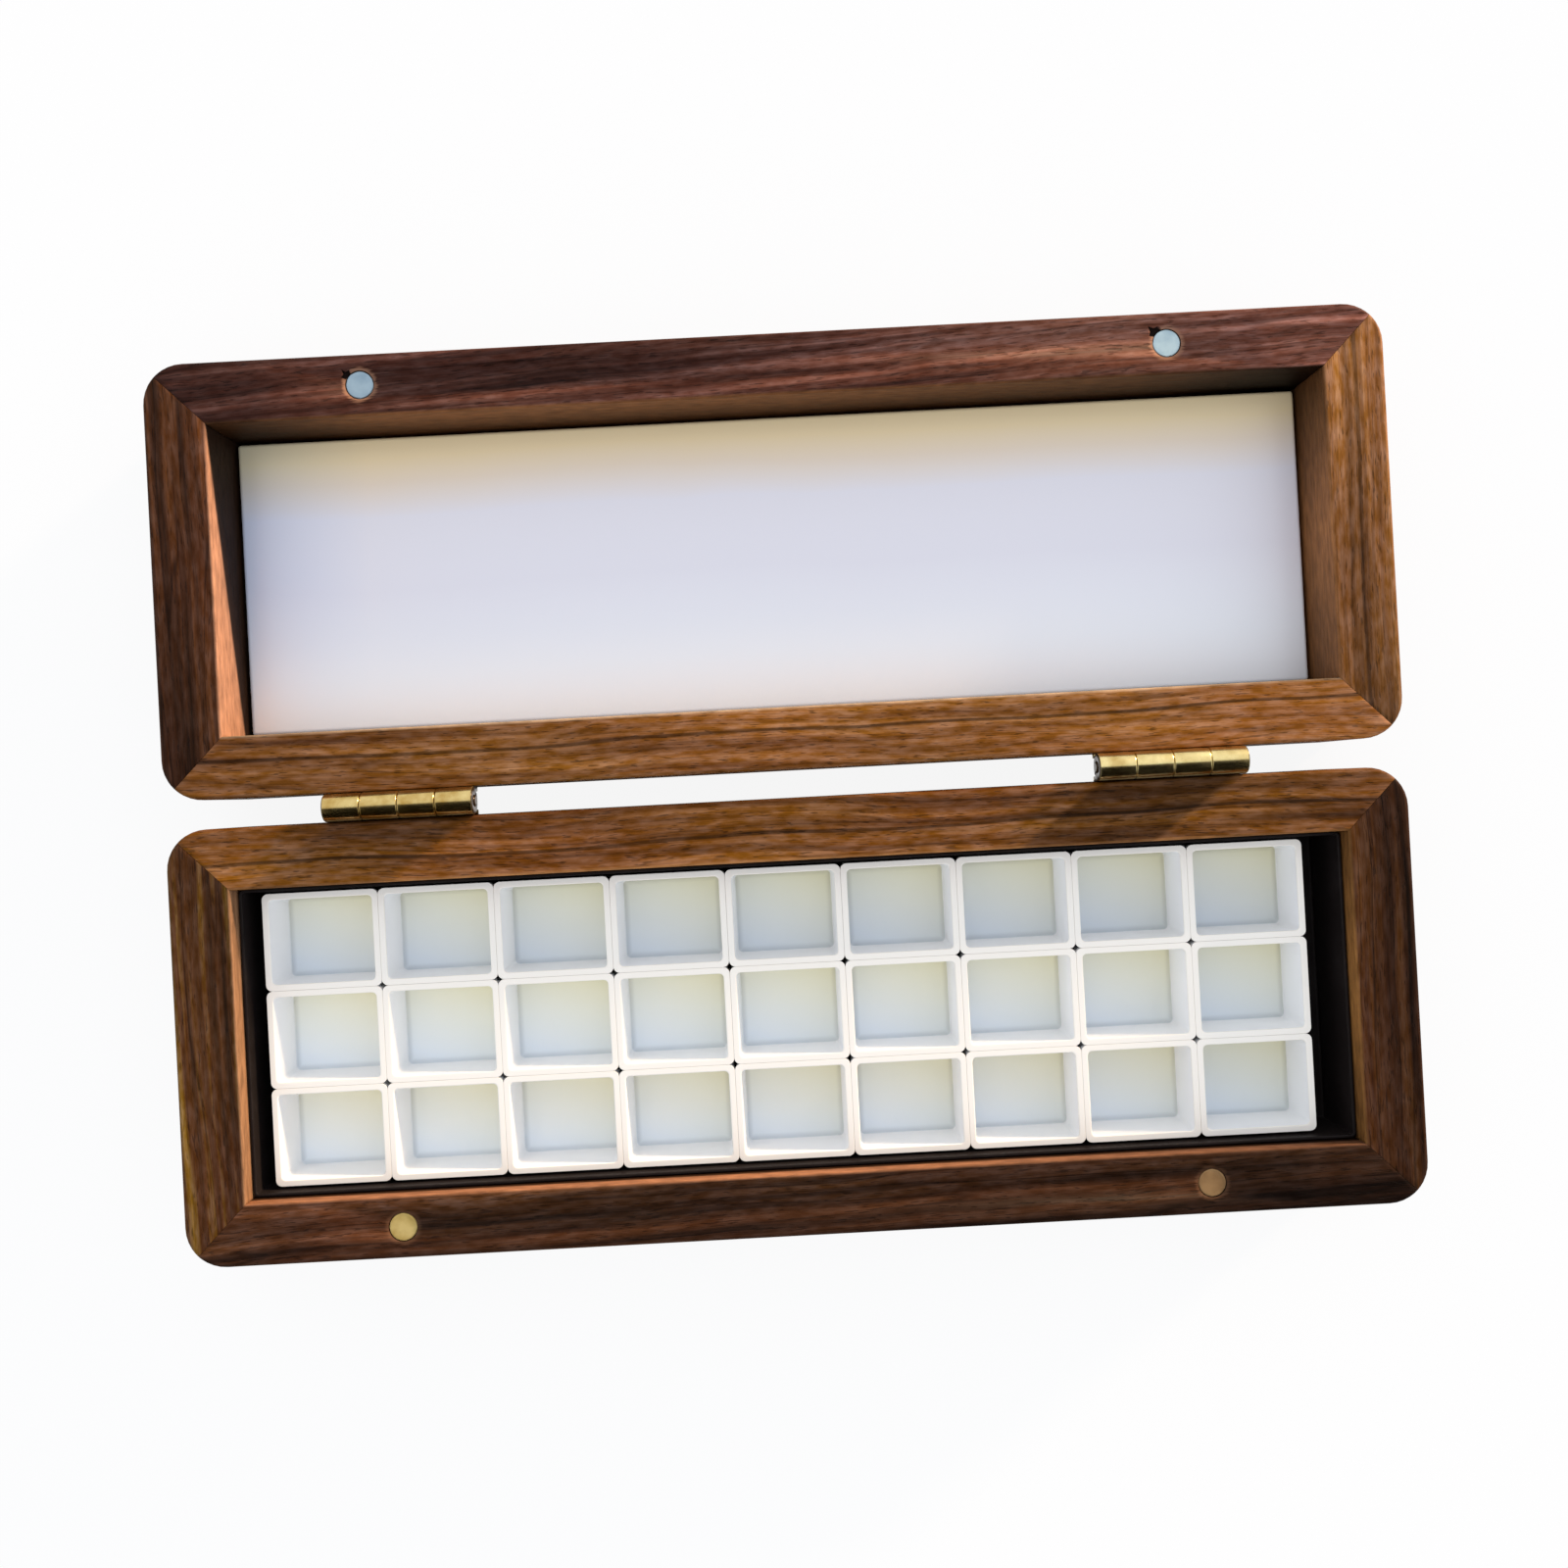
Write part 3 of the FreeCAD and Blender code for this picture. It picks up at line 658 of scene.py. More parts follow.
# %% Rails
def make_rail(node):
    """One rail in its place: along is X or Y, and across runs from the outer face inwards."""
    low, high, centre = box_mm(node)
    turned = node.endswith(("left", "right"))
    grid = rail_grid(tray_half(node.split("_")[0])[1 if turned else 0])
    along, across, height = np.moveaxis(grid, -1, 0)
    axis = 0 if turned else 1
    panel = "base_bottom_panel" if node.startswith("base") else "lid_top_panel"
    inward = math.copysign(1, box_mm(panel)[2][axis] - centre[axis])
    level = (low if inward > 0 else high)[axis] + inward * across
    points = (level, centre[1] + along, height) if turned else (centre[0] + along, level, height)
    piece = tube_piece(node + "_stick", np.stack(points, axis=-1))
    paint = piece.data.attributes.new("bare", "FLOAT", "POINT")
    paint.data.foreach_set("value", np.tile(bare_share, len(grid)))
    return piece


rails = {node: make_rail(node) for node in STICKS}
print("rail faces:", {node: len(piece.data.polygons) for node, piece in rails.items()})

# %% [markdown]
# The magnets sit in drilled pockets. A drill is a Boolean modifier with a cutter that is thrown away
# afterwards. At the two far magnets the drill tore a chip out of the surface, so there a small ragged
# cutter goes with it.

# %% Magnet pockets
POCKET_CLEARANCE = 0.08
MAGNET_NODES = [f"{half}_magnet_{side}" for half in ("base", "lid") for side in ("left", "right")]
CHIP_DEPTH = 0.35
CHIP_FLOOR = 0.55  # the floor's share of the outline
DRILL_OVERSHOOT = 1.0  # above the rim, so that the cut is clean
CHIP_OUTLINES = {  # ragged outlines from the magnet's centre, in millimetres
    "lid_magnet_left": (
        (-1.0, 1.6), (-1.5, 2.6), (-2.2, 2.3), (-2.9, 2.7), (-2.6, 1.9), (-3.1, 1.2), (-2.2, 0.8)),
    "lid_magnet_right": (
        (-0.4, 2.2), (-1.2, 2.9), (-1.9, 2.6), (-3.0, 3.0), (-2.7, 2.0), (-2.9, 1.1), (-2.0, 0.9)),
}


def disc_points(centre, radius, profile, steps=10):
    """Points of a round body about an upright axis, from its profile of (outset, height)."""
    return rings(centre, (radius, radius), radius, profile, least=0.01, steps=steps)


def cut_away(piece, cutters):
    """Takes the cutters out of the piece for good."""
    for cutter in cutters:
        tool = piece.modifiers.new("drill", "BOOLEAN")
        tool.object = cutter
        tool.operation = "DIFFERENCE"
        tool.solver = "EXACT"
    done = bpy.data.meshes.new_from_object(piece.evaluated_get(bpy.context.evaluated_depsgraph_get()))
    done.name = piece.name
    piece.modifiers.clear()
    piece.data = done
    for cutter in cutters:
        bpy.data.objects.remove(cutter)


drills = {"base": [], "lid": []}
for node in MAGNET_NODES:
    low, high, centre = box_mm(node)
    half = node.split("_")[0]
    radius = (high[0] - low[0]) / 2 + POCKET_CLEARANCE
    points = disc_points(centre, radius, slab(low[2] - 0.05, RAIL_HEIGHT + DRILL_OVERSHOOT, 0.6, 0, 0))
    drills[half].append(tube_piece(node + "_drill", points))
    if node in CHIP_OUTLINES:
        outline = np.array(CHIP_OUTLINES[node]) + centre[:2]
        middle = outline.mean(axis=0)
        levels = ((CHIP_FLOOR, RAIL_HEIGHT - CHIP_DEPTH), (1.0, RAIL_HEIGHT),
                  (1.0, RAIL_HEIGHT + DRILL_OVERSHOOT))
        points = np.array([np.column_stack([middle + (outline - middle) * share, np.full(len(outline), z)])
                           for share, z in levels])
        drills[half].append(tube_piece(node + "_chip", points))
for half, cutters in drills.items():
    cut_away(rails[f"{half}_rail_front"], cutters)
print(len(MAGNET_NODES), "pockets are drilled, each", round(2 * radius, 2), "mm wide")

# %% [markdown]
# The hinge screws go into holes in the back faces of the back rails. Then each rail gets the walnut of
# its own stick.

# %% Screw holes
SCREW_SHANK = 0.83
SCREW_SPREAD = 7.0  # from the middle of a hinge to each of its screws


def lying_points(centre, radius, profile, axis, steps=6):
    """A round body about a line along X or Y: an upright one with its axes exchanged.

    The centre gives the other two coordinates, and the profile's heights run along the axis."""
    order = [2, 0, 1] if axis == "X" else [0, 2, 1]
    return disc_points(centre, radius, profile, steps=steps)[..., order]


def screw_places(half, hinge):
    """The positions along X of the two screws in one leaf."""
    middle = box_mm(f"hinge_{hinge}_{half}_leaf")[2][0]
    return middle - SCREW_SPREAD, middle + SCREW_SPREAD


for half in ("base", "lid"):
    low, high, centre = box_mm(f"{half}_hinge_screws")
    depth_range = np.array([(0, low[1] - 0.1), (0, high[1] + 0.1)])
    cut_away(rails[f"{half}_rail_back"], [
        tube_piece(f"{half}_hole", lying_points((x, centre[2]), SCREW_SHANK, depth_range, "Y"))
        for hinge in ("left", "right") for x in screw_places(half, hinge)])

for node, piece in rails.items():
    finish_piece(piece, node.split("_")[0], node, walnut(node, **STICKS[node]))
print("rails are drilled and oiled")

# %% [markdown]
# The panels close each tray from outside. They are thin walnut boards let into the rebates, so from
# below one sees a board, a hair line all round it, and the frame. A board is a stack of rounded
# rectangles: out along the underside, up the edge and back in along the top. Its figure is wider than
# a rail's, because it is a wider piece of the tree.

# %% Panels
PANEL_CORNER = 0.4

for node, seed in (("base_bottom_panel", 61.0), ("lid_top_panel", 73.0)):
    low, high, centre = box_mm(node)
    profile = slab(low[2], high[2], 2.5, 0.25, 0.1)
    panel = ring_body(node + "_board", centre, high - low, PANEL_CORNER, profile, steps=3)
    finish_piece(panel, node.split("_")[0], node, walnut(
        node, tones=("#3a2317", "#5f3d28", "#86603f"), tilt=0.03, lines=0.4, wander=9.0, seed=seed))
    print(node, "is", np.round(high - low, 2), "mm")

# %% [markdown]
# The floor under the pans is a low tray folded from half-millimetre steel, and sprayed satin black.
# The pans' magnets hold to it. Sprayed paint has a faint orange peel, and a floor that pans slide over
# gathers pale dust and fine rubbed marks. The tray is one skin that goes up the outside of the walls,
# over their thin edge and down the inside to the floor.

# %% Pan tray
SHEET = 0.5
FOLD_RADIUS = 0.8
PEEL_SCALE = 900.0  # per metre, for an orange peel 1.1 mm wide
DUST_SCALE = 160.0  # clouds of dust 6 mm wide

low, high, centre = box_mm("pan_tray")
floor = low[2] + SHEET
profile = eased(
    [(-3, low[2]), (0, low[2]), (0, high[2]), (-SHEET, high[2]), (-SHEET, floor), (-3, floor)],
    (0, FOLD_RADIUS, 0.15, 0.15, FOLD_RADIUS - SHEET, 0), hold=0.05)
tray = ring_body("pan_tray_folded", centre, high - low, FOLD_RADIUS, profile, steps=4)

satin_black, shader, add = new_material("satin_black_sprayed_steel")
place = add("TexCoord").outputs["Object"]
peel = add("TexNoise", place, PEEL_SCALE, 2.0)
dust = add("TexNoise", place, DUST_SCALE, 6.0, 0.7)
dusty = add("ValToRGB", dust, stops=((0.45, "#1d1817"), (0.78, "#282322")))
coat(add, shader, dusty, (dust, 0, 1, 0.38, 0.6), (peel, 0.3, 0.04), Specular_IOR_Level=0.12)
finish_piece(tray, "base", "pan_tray", satin_black)
print("the tray's walls end", round(RAIL_HEIGHT - high[2], 2), "mm below the rim")

# %% [markdown]
# The mixing plate is a slab of glossy white plastic, cut square and polished along its upper edge.
# Paint is mixed on it, so the surface is smooth, with only the faint waviness of a polished sheet. Its
# colour carries painted light: a warm painted bounce from the wood along the front edge, painted shade in a
# cool strip along one side, and a faint lavender between.

# %% Mixing plate
PLATE_EDGE = 0.6  # the polished edge's radius, and the corners'
HAZE_SCALE = 14.0  # per metre, for clouds 70 mm wide
HAZE_SHIFT = 0.006  # metres, by which the haze pushes the painted light about
RUB_SCALE = 300.0  # rubbed patches 3 mm wide

low, high, centre = box_mm("mixing_plate")
profile = slab(low[2], high[2], 3, 0.15, PLATE_EDGE, steps=5)
plate = ring_body("mixing_plate_slab", centre, high - low, PLATE_EDGE, profile, steps=4)
white_plate, shader, add = new_material("glossy_white_acrylic")
place = add("TexCoord").outputs["Object"]
haze = add("TexNoise", place, HAZE_SCALE, 3.0)
x, y = add("SeparateXYZ", place).outputs[:2]
uneven = add("Math:MULTIPLY_ADD", haze, HAZE_SHIFT, y)
reach = add("MapRange", uneven, low[1] * MM, high[1] * MM)
# Painted light across the plate: white by the hinges, lavender in the middle, warm bounce by the front edge.
plate_painted_light = add("ValToRGB", reach, stops=(
    (0.0, "#ffffff"), (1.0, "#ffe8b8"), (0.25, "#f6f9fc"), (0.55, "#ecebf1"), (0.80, "#eeecf1"),
    (0.92, "#f5e4cc")))
# Painted cool shade along one side, fading out towards the hinges.
aside = add("MapRange", x, low[0] * MM, high[0] * MM)
side_painted_shade = add("ValToRGB", aside, stops=((0.0, "#e4f0ff"), (0.12, "#ffffff")))
upper = add("MapRange", reach, 0.1, 0.6)
plate_painted_light = add("Mix:RGBA", upper, plate_painted_light, side_painted_shade, blend_type="MULTIPLY")
rub = add("TexNoise", place, RUB_SCALE, 4.0)
coat(add, shader, plate_painted_light, (rub, 0, 1, 0.16, 0.3), (haze, 0.1, 0.1), IOR=1.49)
finish_piece(plate, "lid", "mixing_plate", white_plate)
print("the plate's face lies", round(RAIL_HEIGHT - high[2], 2), "mm below the rim")

# %% [markdown]
# A half pan is a small moulded cup. Its walls lean in towards the foot so that it leaves the mould,
# its rim is rounded, and the hollow meets the floor in a small radius so that a brush can clean it. One
# profile goes along the foot, up the outside, over the rim, down the inside and in along the floor, and
# rounded rectangles follow it. A thin black tile of flexible magnet is glued under the foot.

# %% Half pans
TILE_THICKNESS = 0.6
TILE_MARGIN = 2.96
PAN_WALL = 1.0
PAN_FLOOR = 0.9
PAN_LEAN = 0.36
PAN_CORNER = 1.0
HOLLOW_CORNER = 0.75
RIM_SPREAD = 0.035  # neighbours in the block all but touch


def pan_piece(node):
    """The cup and its magnet tile, from the node's box, as two pieces."""
    low, high, centre = box_mm(node)
    foot, rim = low[2] + TILE_THICKNESS, high[2]
    floor = foot + PAN_FLOOR
    inside = -PAN_WALL - PAN_LEAN * (rim - floor) / (rim - foot)
    profile = eased(
        [(-PAN_LEAN - 2, foot), (-PAN_LEAN, foot), (0, rim),
         (-PAN_WALL, rim), (inside, floor), (inside - 2, floor)],
        (0, 0.4, 0.04, 0.15, 0.25, 0), hold=0.1)
    size = high - low + 2 * RIM_SPREAD
    cup = ring_body(node + "_cup", centre, size, PAN_CORNER, profile, least=HOLLOW_CORNER)
    tile_profile = slab(low[2], foot - 0.01, 1, 0.1, 0.1, steps=2, hold=0.05)
    tile = ring_body(node + "_tile", centre, high - low - 2 * TILE_MARGIN, 0.4, tile_profile, steps=2)
    return cup, tile


print("a pan's walls lean in by", PAN_LEAN, "mm")

# %% [markdown]
# Moulded polystyrene is white right through, with a soft gloss. The floors carry painted light: warm towards
# one corner and cool towards the other. Painted shade darkens them in a line where the floor meets the
# walls, in the first row and towards the last column, where the rails' shadows fall. The rims are a little
# yellower than the walls.
# One material serves all pans: the fraction of a point's place over the pitch tells where in its own
# pan it lies.

# %% Pan plastic
CREASE_SHADE_WIDTH = 1.1  # width of the painted shade round the floor
CREASE_SHADE_SHARE = 0.80
RIGHT_SHADE_SHARE = 0.85  # what the last column's floor keeps under painted shade, next to the first
FIRST_ROW_SHARE = 0.93  # what the first row's floor keeps under painted shade, next to the others
CLOUD_SCALE = 60.0  # per metre, for clouds in the plastic 17 mm wide
SKIN_SCALE = 2500.0  # the moulded skin's unevenness, 0.4 mm wide
RIM_BAND = (0.3, 0.1)  # below the rim, from no yellow to full
FLOOR_BAND = (0.02, 0.2)  # above the floor, from its own colour to the walls'

moulded_white, shader, add = new_material("moulded_white_polystyrene")
place = add("TexCoord").outputs["Object"]
x, y, level = add("SeparateXYZ", place).outputs
cloud = add("TexNoise", place, CLOUD_SCALE, 2.0)
tint = add("ValToRGB", cloud, stops=((0.3, "#fefefc"), (0.7, "#ffffff")))
first, beside, below = (box_mm(node)[0][:2] for node in ("pan_r1_c1", "pan_r1_c2", "pan_r2_c1"))
pitch = np.array([beside[0] - first[0], first[1] - below[1]])
in_pan = add("Mapping", place, (*(-first / pitch), 0), (0, 0, 0), (*(1 / (pitch * MM)), 0))
in_pan = add("SeparateXYZ", add("VectorMath:FRACTION", in_pan)).outputs
across_floor = add("Math:MULTIPLY_ADD", in_pan[1], 0.7, add("Math:MULTIPLY", in_pan[0], 0.3))
# Painted warm and cool light across each floor.
floor_painted_light = add("ValToRGB", across_floor, stops=((0.2, "#eff8ff"), (0.85, "#fff9d4")))
out_x, out_y = (
    add("Math:MULTIPLY_ADD", add("Math:ABSOLUTE", add("Math:SUBTRACT", in_pan[k], 0.5)),
        pitch[k], PAN_WALL + PAN_LEAN - pitch[k] / 2) for k in (0, 1))
to_wall = add("Math:MAXIMUM", out_x, out_y)
# Painted shade in the crease round the floor, in the last columns and in the first row.
floor_painted_shade = add("MapRange", to_wall, -CREASE_SHADE_WIDTH, 0.0, 1.0, CREASE_SHADE_SHARE, **SMOOTH)
right_painted_shade = add("MapRange", x, first[0] * MM, -first[0] * MM, 1.0, RIGHT_SHADE_SHARE)
in_first_row = add("MapRange", y, (first[1] - 1) * MM, first[1] * MM, 1.0, FIRST_ROW_SHARE)
for share in (right_painted_shade, in_first_row):
    floor_painted_shade = add("Math:MULTIPLY", floor_painted_shade, share)
floor_painted_light = add("HueSaturation", {"Color": floor_painted_light, "Value": floor_painted_shade})
rim_z = box_mm("pan_r1_c1")[1][2]
on_rim = add("MapRange", level, *((rim_z - drop) * MM for drop in RIM_BAND))
tint = add("Mix:RGBA", on_rim, tint, linear("#fffaee"))
floor_z = box_mm("pan_r1_c1")[0][2] + TILE_THICKNESS + PAN_FLOOR
on_floor = add("MapRange", level, *((floor_z + climb) * MM for climb in FLOOR_BAND), 1.0, 0.0)
tint = add("Mix:RGBA", on_floor, tint, floor_painted_light)
fine = add("TexNoise", place, SKIN_SCALE, 2.0)
coat(add, shader, tint, (cloud, 0, 1, 0.3, 0.42), (fine, 0.15, 0.02), IOR=1.5, Specular_IOR_Level=0.15)
print("the pans' pitch is", np.round(pitch, 2), "mm")

# %% [markdown]
# The tiles are punched from rolled sheet magnet, which is matt and nearly black with fine pale specks.
# With it the pans are put in their places.

# %% Magnet tiles, and all pans
SPECK_SCALE = 1500.0  # per metre, for specks 0.7 mm wide

flexible_magnet, shader, add = new_material("rolled_flexible_magnet")
speck = add("TexNoise", add("TexCoord").outputs["Object"], SPECK_SCALE)
tint = add("ValToRGB", speck, stops=((0.35, "#1c1a18"), (0.7, "#2d2926")))
fill(shader, {"Base Color": tint, "Roughness": 0.7})

pan_nodes = sorted(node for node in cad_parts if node.startswith("pan_r"))
for node in pan_nodes:
    cup, tile = pan_piece(node)
    finish_piece(cup, "half_" + node, node, moulded_white)
    finish_piece(tile, "half_" + node, node, flexible_magnet)
print(len(pan_nodes), "pans of", len(cup.data.polygons), "faces each")

# %% [markdown]
# The closing magnets are nickel-plated discs, pressed into their pockets and left a hair below the rim.
# Nickel is a slightly warm grey mirror, and handling scratches it finely. Each magnet's tint is a painted
# reflection: cool sky in the lid's two, warm gold and brown in the base's two, which are also made less of a
# mirror so that their tint shows.

# %% Closing magnets
TINT_PATCH_SCALE = 350.0  # per metre, for tint patches 3 mm wide
SCRATCH_SCALE = 4000.0  # scratches, drawn 0.25 mm wide so that they show
MAGNET_REFLECTION_TINTS = {  # painted reflection tints of the plating, and its metallic share
    "base_magnet_left": (("#d8b764", "#efd488"), 0.45),
    "base_magnet_right": (("#957249", "#b18b5c"), 0.45),
    "lid_magnet_left": (("#8ca4b6", "#a3bac9"), 0.85),
    "lid_magnet_right": (("#a0b9c7", "#b9d0d9"), 0.85),
}
for node, (tints, bright) in MAGNET_REFLECTION_TINTS.items():
    nickel, shader, add = new_material("nickel_plated_" + node)
    place = add("TexCoord").outputs["Object"]
    tint_patches = add("TexNoise", place, TINT_PATCH_SCALE, 4.0)
    tint = add("ValToRGB", tint_patches, stops=((0.35, tints[0]), (0.65, tints[1])))
    scratch = add("TexNoise", place, SCRATCH_SCALE, 2.0)
    coat(add, shader, tint, (tint_patches, 0, 1, 0.32, 0.5), (scratch, 0.2, 0.01), Metallic=bright)
    low, high, centre = box_mm(node)
    points = disc_points(centre, (high[0] - low[0]) / 2, slab(low[2], high[2], 0.8, 0.2, 0.22, hold=0.08))
    finish_piece(tube_piece(node + "_disc", points), node.split("_")[0], node, nickel)
print("the magnets are", round(high[0] - low[0], 2), "mm across")

# %% [markdown]
# A butt hinge leaf is one strip of brass sheet. Notches are cut into one edge, and the tongues left
# between them are rolled round the pin, so each knuckle is a curl with a seam where its end comes back
# to the plate. The other leaf's knuckles stand in the notches. The strip is a grid: one direction runs
# along the hinge, and the other runs up the plate and round the curl. Cells in the notches are left
# out, and every open edge is closed by the thickness of the sheet.

# %% Sheet with notches


def notched_sheet(front, back, present):
    """Points and faces of a sheet from its two skins (rows, columns, 3) and a mask of its cells.

    An edge between a present and an absent cell gets a face from one skin to the other.
    """
    rows, columns = front.shape[:2]
    index = np.arange(rows * columns).reshape(rows, columns)
    behind = index + rows * columns
    cell = np.stack([index[:-1, :-1], index[:-1, 1:], index[1:, 1:], index[1:, :-1]], axis=-1)
    faces = [cell[present], (cell + rows * columns)[present][:, ::-1]]
    padded = np.pad(present, 1)
    level = np.stack([index[:, :-1], index[:, 1:], behind[:, 1:], behind[:, :-1]], axis=-1)
    below, above = padded[:-1, 1:-1], padded[1:, 1:-1]
    upright = np.stack([index[:-1], index[1:], behind[1:], behind[:-1]], axis=-1)
    before, after = padded[1:-1, :-1], padded[1:-1, 1:]
    faces += [level[above & ~below][:, ::-1], level[below & ~above],
              upright[after & ~before], upright[before & ~after][:, ::-1]]
    faces = np.concatenate(faces)
    used, compact = np.unique(faces, return_inverse=True)
    points = np.concatenate([front.reshape(-1, 3), back.reshape(-1, 3)])[used]
    return points, compact.reshape(faces.shape).tolist()


print("a sheet has two skins, and a wall wherever it ends")

# %% [markdown]
# The section is drawn for the base leaf, from the bottom of the plate to the end of the curl. Along the
# hinge the sheet is divided into knuckles, and the plate's lower corners are clipped.

# %% Leaf section and knuckles
LEAF_THICKNESS = 0.9
BARREL_RADIUS = 2.25
PIN_RADIUS = 0.9
PIN_CLEARANCE = 0.04
KNUCKLE_RELIEF = 0.2
KNUCKLE_GAP = 0.1
KNUCKLE_COUNT = 4
CURL_END = -128  # degrees, where the curl comes back to the plate
BORE_START = 226  # degrees, where the inner skin leaves the plate
CURL_STEPS = 26
BEVEL = 0.18
CLIPPED = 0.9  # how far the plate's lower corners are clipped
CURL_START = 180  # where the outer skin does
WOOD_BENDS = ((0, -1.9), (0.02, -0.8))  # y from the plate's face, and z from the pin's axis
ROOM_BENDS = ((0, -1.92), (0.35, -1.35))
SCREW_HEAD = 1.5
SCREW_NECK = 0.8
SINK_CLEARANCE = 0.03
SINK_DEPTHS = (-1.0, 0.02, 0.72, 2.0)  # in from the head's face: clear, cone, neck, through
AXIS_Z = round(float(box_mm("hinge_left_pin")[2][2]), 4)
leaf_low, leaf_high = box_mm("hinge_left_base_leaf")[:2]


def leaf_section():
    """The two skins of the base leaf in section, as (y, z) from the pin's axis.

    The plate stands against the wood. Above it, the outer skin goes round the barrel's circle and the
    inner skin round the bore, both from the wood's side over the top to the curl's end.
    """
    bottom, notch = leaf_low[2] - AXIS_Z, -BARREL_RADIUS - KNUCKLE_RELIEF
    plate_z = np.array([bottom, bottom * 0.6 + notch * 0.4, notch])
    wood_y, room_y = leaf_low[1], leaf_low[1] + LEAF_THICKNESS
    skins = []
    for y, bends, radius, start in (
            (wood_y, WOOD_BENDS, BARREL_RADIUS, CURL_START),
            (room_y, ROOM_BENDS, PIN_RADIUS + PIN_CLEARANCE, BORE_START)):
        turn = np.radians(np.linspace(start, CURL_END, CURL_STEPS))
        skins.append(np.concatenate([np.column_stack([np.full(3, y), plate_z]), np.array(bends) + (y, 0),
                                     radius * np.column_stack([np.cos(turn), np.sin(turn)])]))
    return skins


wood_side, room_side = leaf_section()
PLATE_ROWS = 2  # the rows of cells in the plate
knuckle_pitch = (leaf_high[0] - leaf_low[0]) / KNUCKLE_COUNT
edges = (np.arange(KNUCKLE_COUNT + 1) - KNUCKLE_COUNT / 2) * knuckle_pitch
edges += KNUCKLE_GAP / 2 * np.array([0, -1, 1, -1, 0])
present = np.ones((len(wood_side) - 1, KNUCKLE_COUNT), bool)
present[PLATE_ROWS:, 1::2] = False
clip = np.zeros(len(wood_side))[:, None]
clip[:PLATE_ROWS, 0] = CLIPPED, 0.75 * CLIPPED
clipped_edges = edges - np.sign(edges) * (np.abs(edges) == edges.max()) * clip
print("a knuckle is", round(knuckle_pitch, 2), "mm long, and the pin's axis is at", AXIS_Z, "mm")

# %% [markdown]
# Both leaves are the same part, and one stands turned round against the other. Small bevels on all
# edges make the ends of the knuckles catch the light, and the screw holes are countersunk.


# %% Hinge leaves
def make_leaf(hinge, half):
    """A leaf in its place. The lid's leaf is the base's one, turned half round the Z axis."""
    node = f"hinge_{hinge}_{half}_leaf"
    outward = -1 if half == "lid" else 1
    skins = [np.stack(np.broadcast_arrays(clipped_edges, *side.T[..., None]), axis=-1)
             for side in (room_side, wood_side)]
    points, faces = notched_sheet(*skins, present)
    points = points * (outward, outward, 1) + (box_mm(node)[2][0], 0, AXIS_Z)
    leaf = make_piece(node + "_rolled", points, faces)
    soften = leaf.modifiers.new("soften", "BEVEL")
    soften.width = BEVEL * MM
    soften.segments = 3
    soften.limit_method = "ANGLE"
    soften.angle_limit = math.radians(40)
    low, high, centre = box_mm(half + "_hinge_screws")
    head_y = low[1] if half == "lid" else high[1]
    cone = np.column_stack([np.repeat([SCREW_HEAD, SCREW_NECK], 2) + SINK_CLEARANCE,
                            head_y - outward * np.array(SINK_DEPTHS)])
    cut_away(leaf, [tube_piece(node + "_sink", lying_points((x, centre[2]), 0, cone, "Y"))
                    for x in screw_places(half, hinge)])
    leaf.data.set_sharp_from_angle(angle=SHARP_ANGLE)
    return leaf


print("the bevels are", BEVEL, "mm wide")

# %% [markdown]
# Drawn brass is a warm yellow mirror: fine lines run along the barrel from the drawing of the sheet, and its
# tone grows paler along X, a painted sheen that makes the right hinge brighter. The barrel's ends, and its
# lower side above the base rail, are painted dark brown and made less of a mirror: painted shade, and a
# painted reflection of the dark wood.
# The screws are turned from brass too, and the pin is a length of hard brass wire.

# %% Brass
END_BAND = (0.25, 0.1)  # from the end of the barrel, in mm, from bright to brown
LOW_BAND = (0.6, 1.2)  # above the pin's axis, from brown to bright
BARREL_BAND = (-2.3, -1.8)  # the same height, below which the plate stays bright
SIDE_BAND = (-0.3, 0.3)  # across the axis, from the base's side to the lid's
DRAWN_SCALE = (60.0, 3000.0, 3000.0)  # per metre: lines 17 mm long, drawn 0.3 mm wide to show
TARNISH_SCALE = 300.0  # patches 3 mm wide
SHEEN_DRIFT = 1.6  # per metre along X: a painted sheen, paler on the right hinge

brass, shader, add = new_material("drawn_brass")
place = add("TexCoord").outputs["Object"]
stretched = add("Mapping", place, (0, 0, 0), (0, 0, 0), DRAWN_SCALE)
drawn = add("TexNoise", stretched, 1.0, 2.0)
tarnish = add("TexNoise", place, TARNISH_SCALE, 5.0)
x, y, z = add("SeparateXYZ", place).outputs
tarnish_and_sheen = add("Math:MULTIPLY_ADD", x, SHEEN_DRIFT, tarnish)
tint = add("ValToRGB", tarnish_and_sheen, stops=((0.25, "#b8944a"), (0.72, "#f6e3a4")))
hinge_x = box_mm("hinge_right_pin")[2][0]
barrel_half = box_mm("hinge_right_base_leaf")[1][0] - hinge_x
from_middle = add("Math:ABSOLUTE", add("Math:SUBTRACT", add("Math:ABSOLUTE", x), hinge_x * MM))
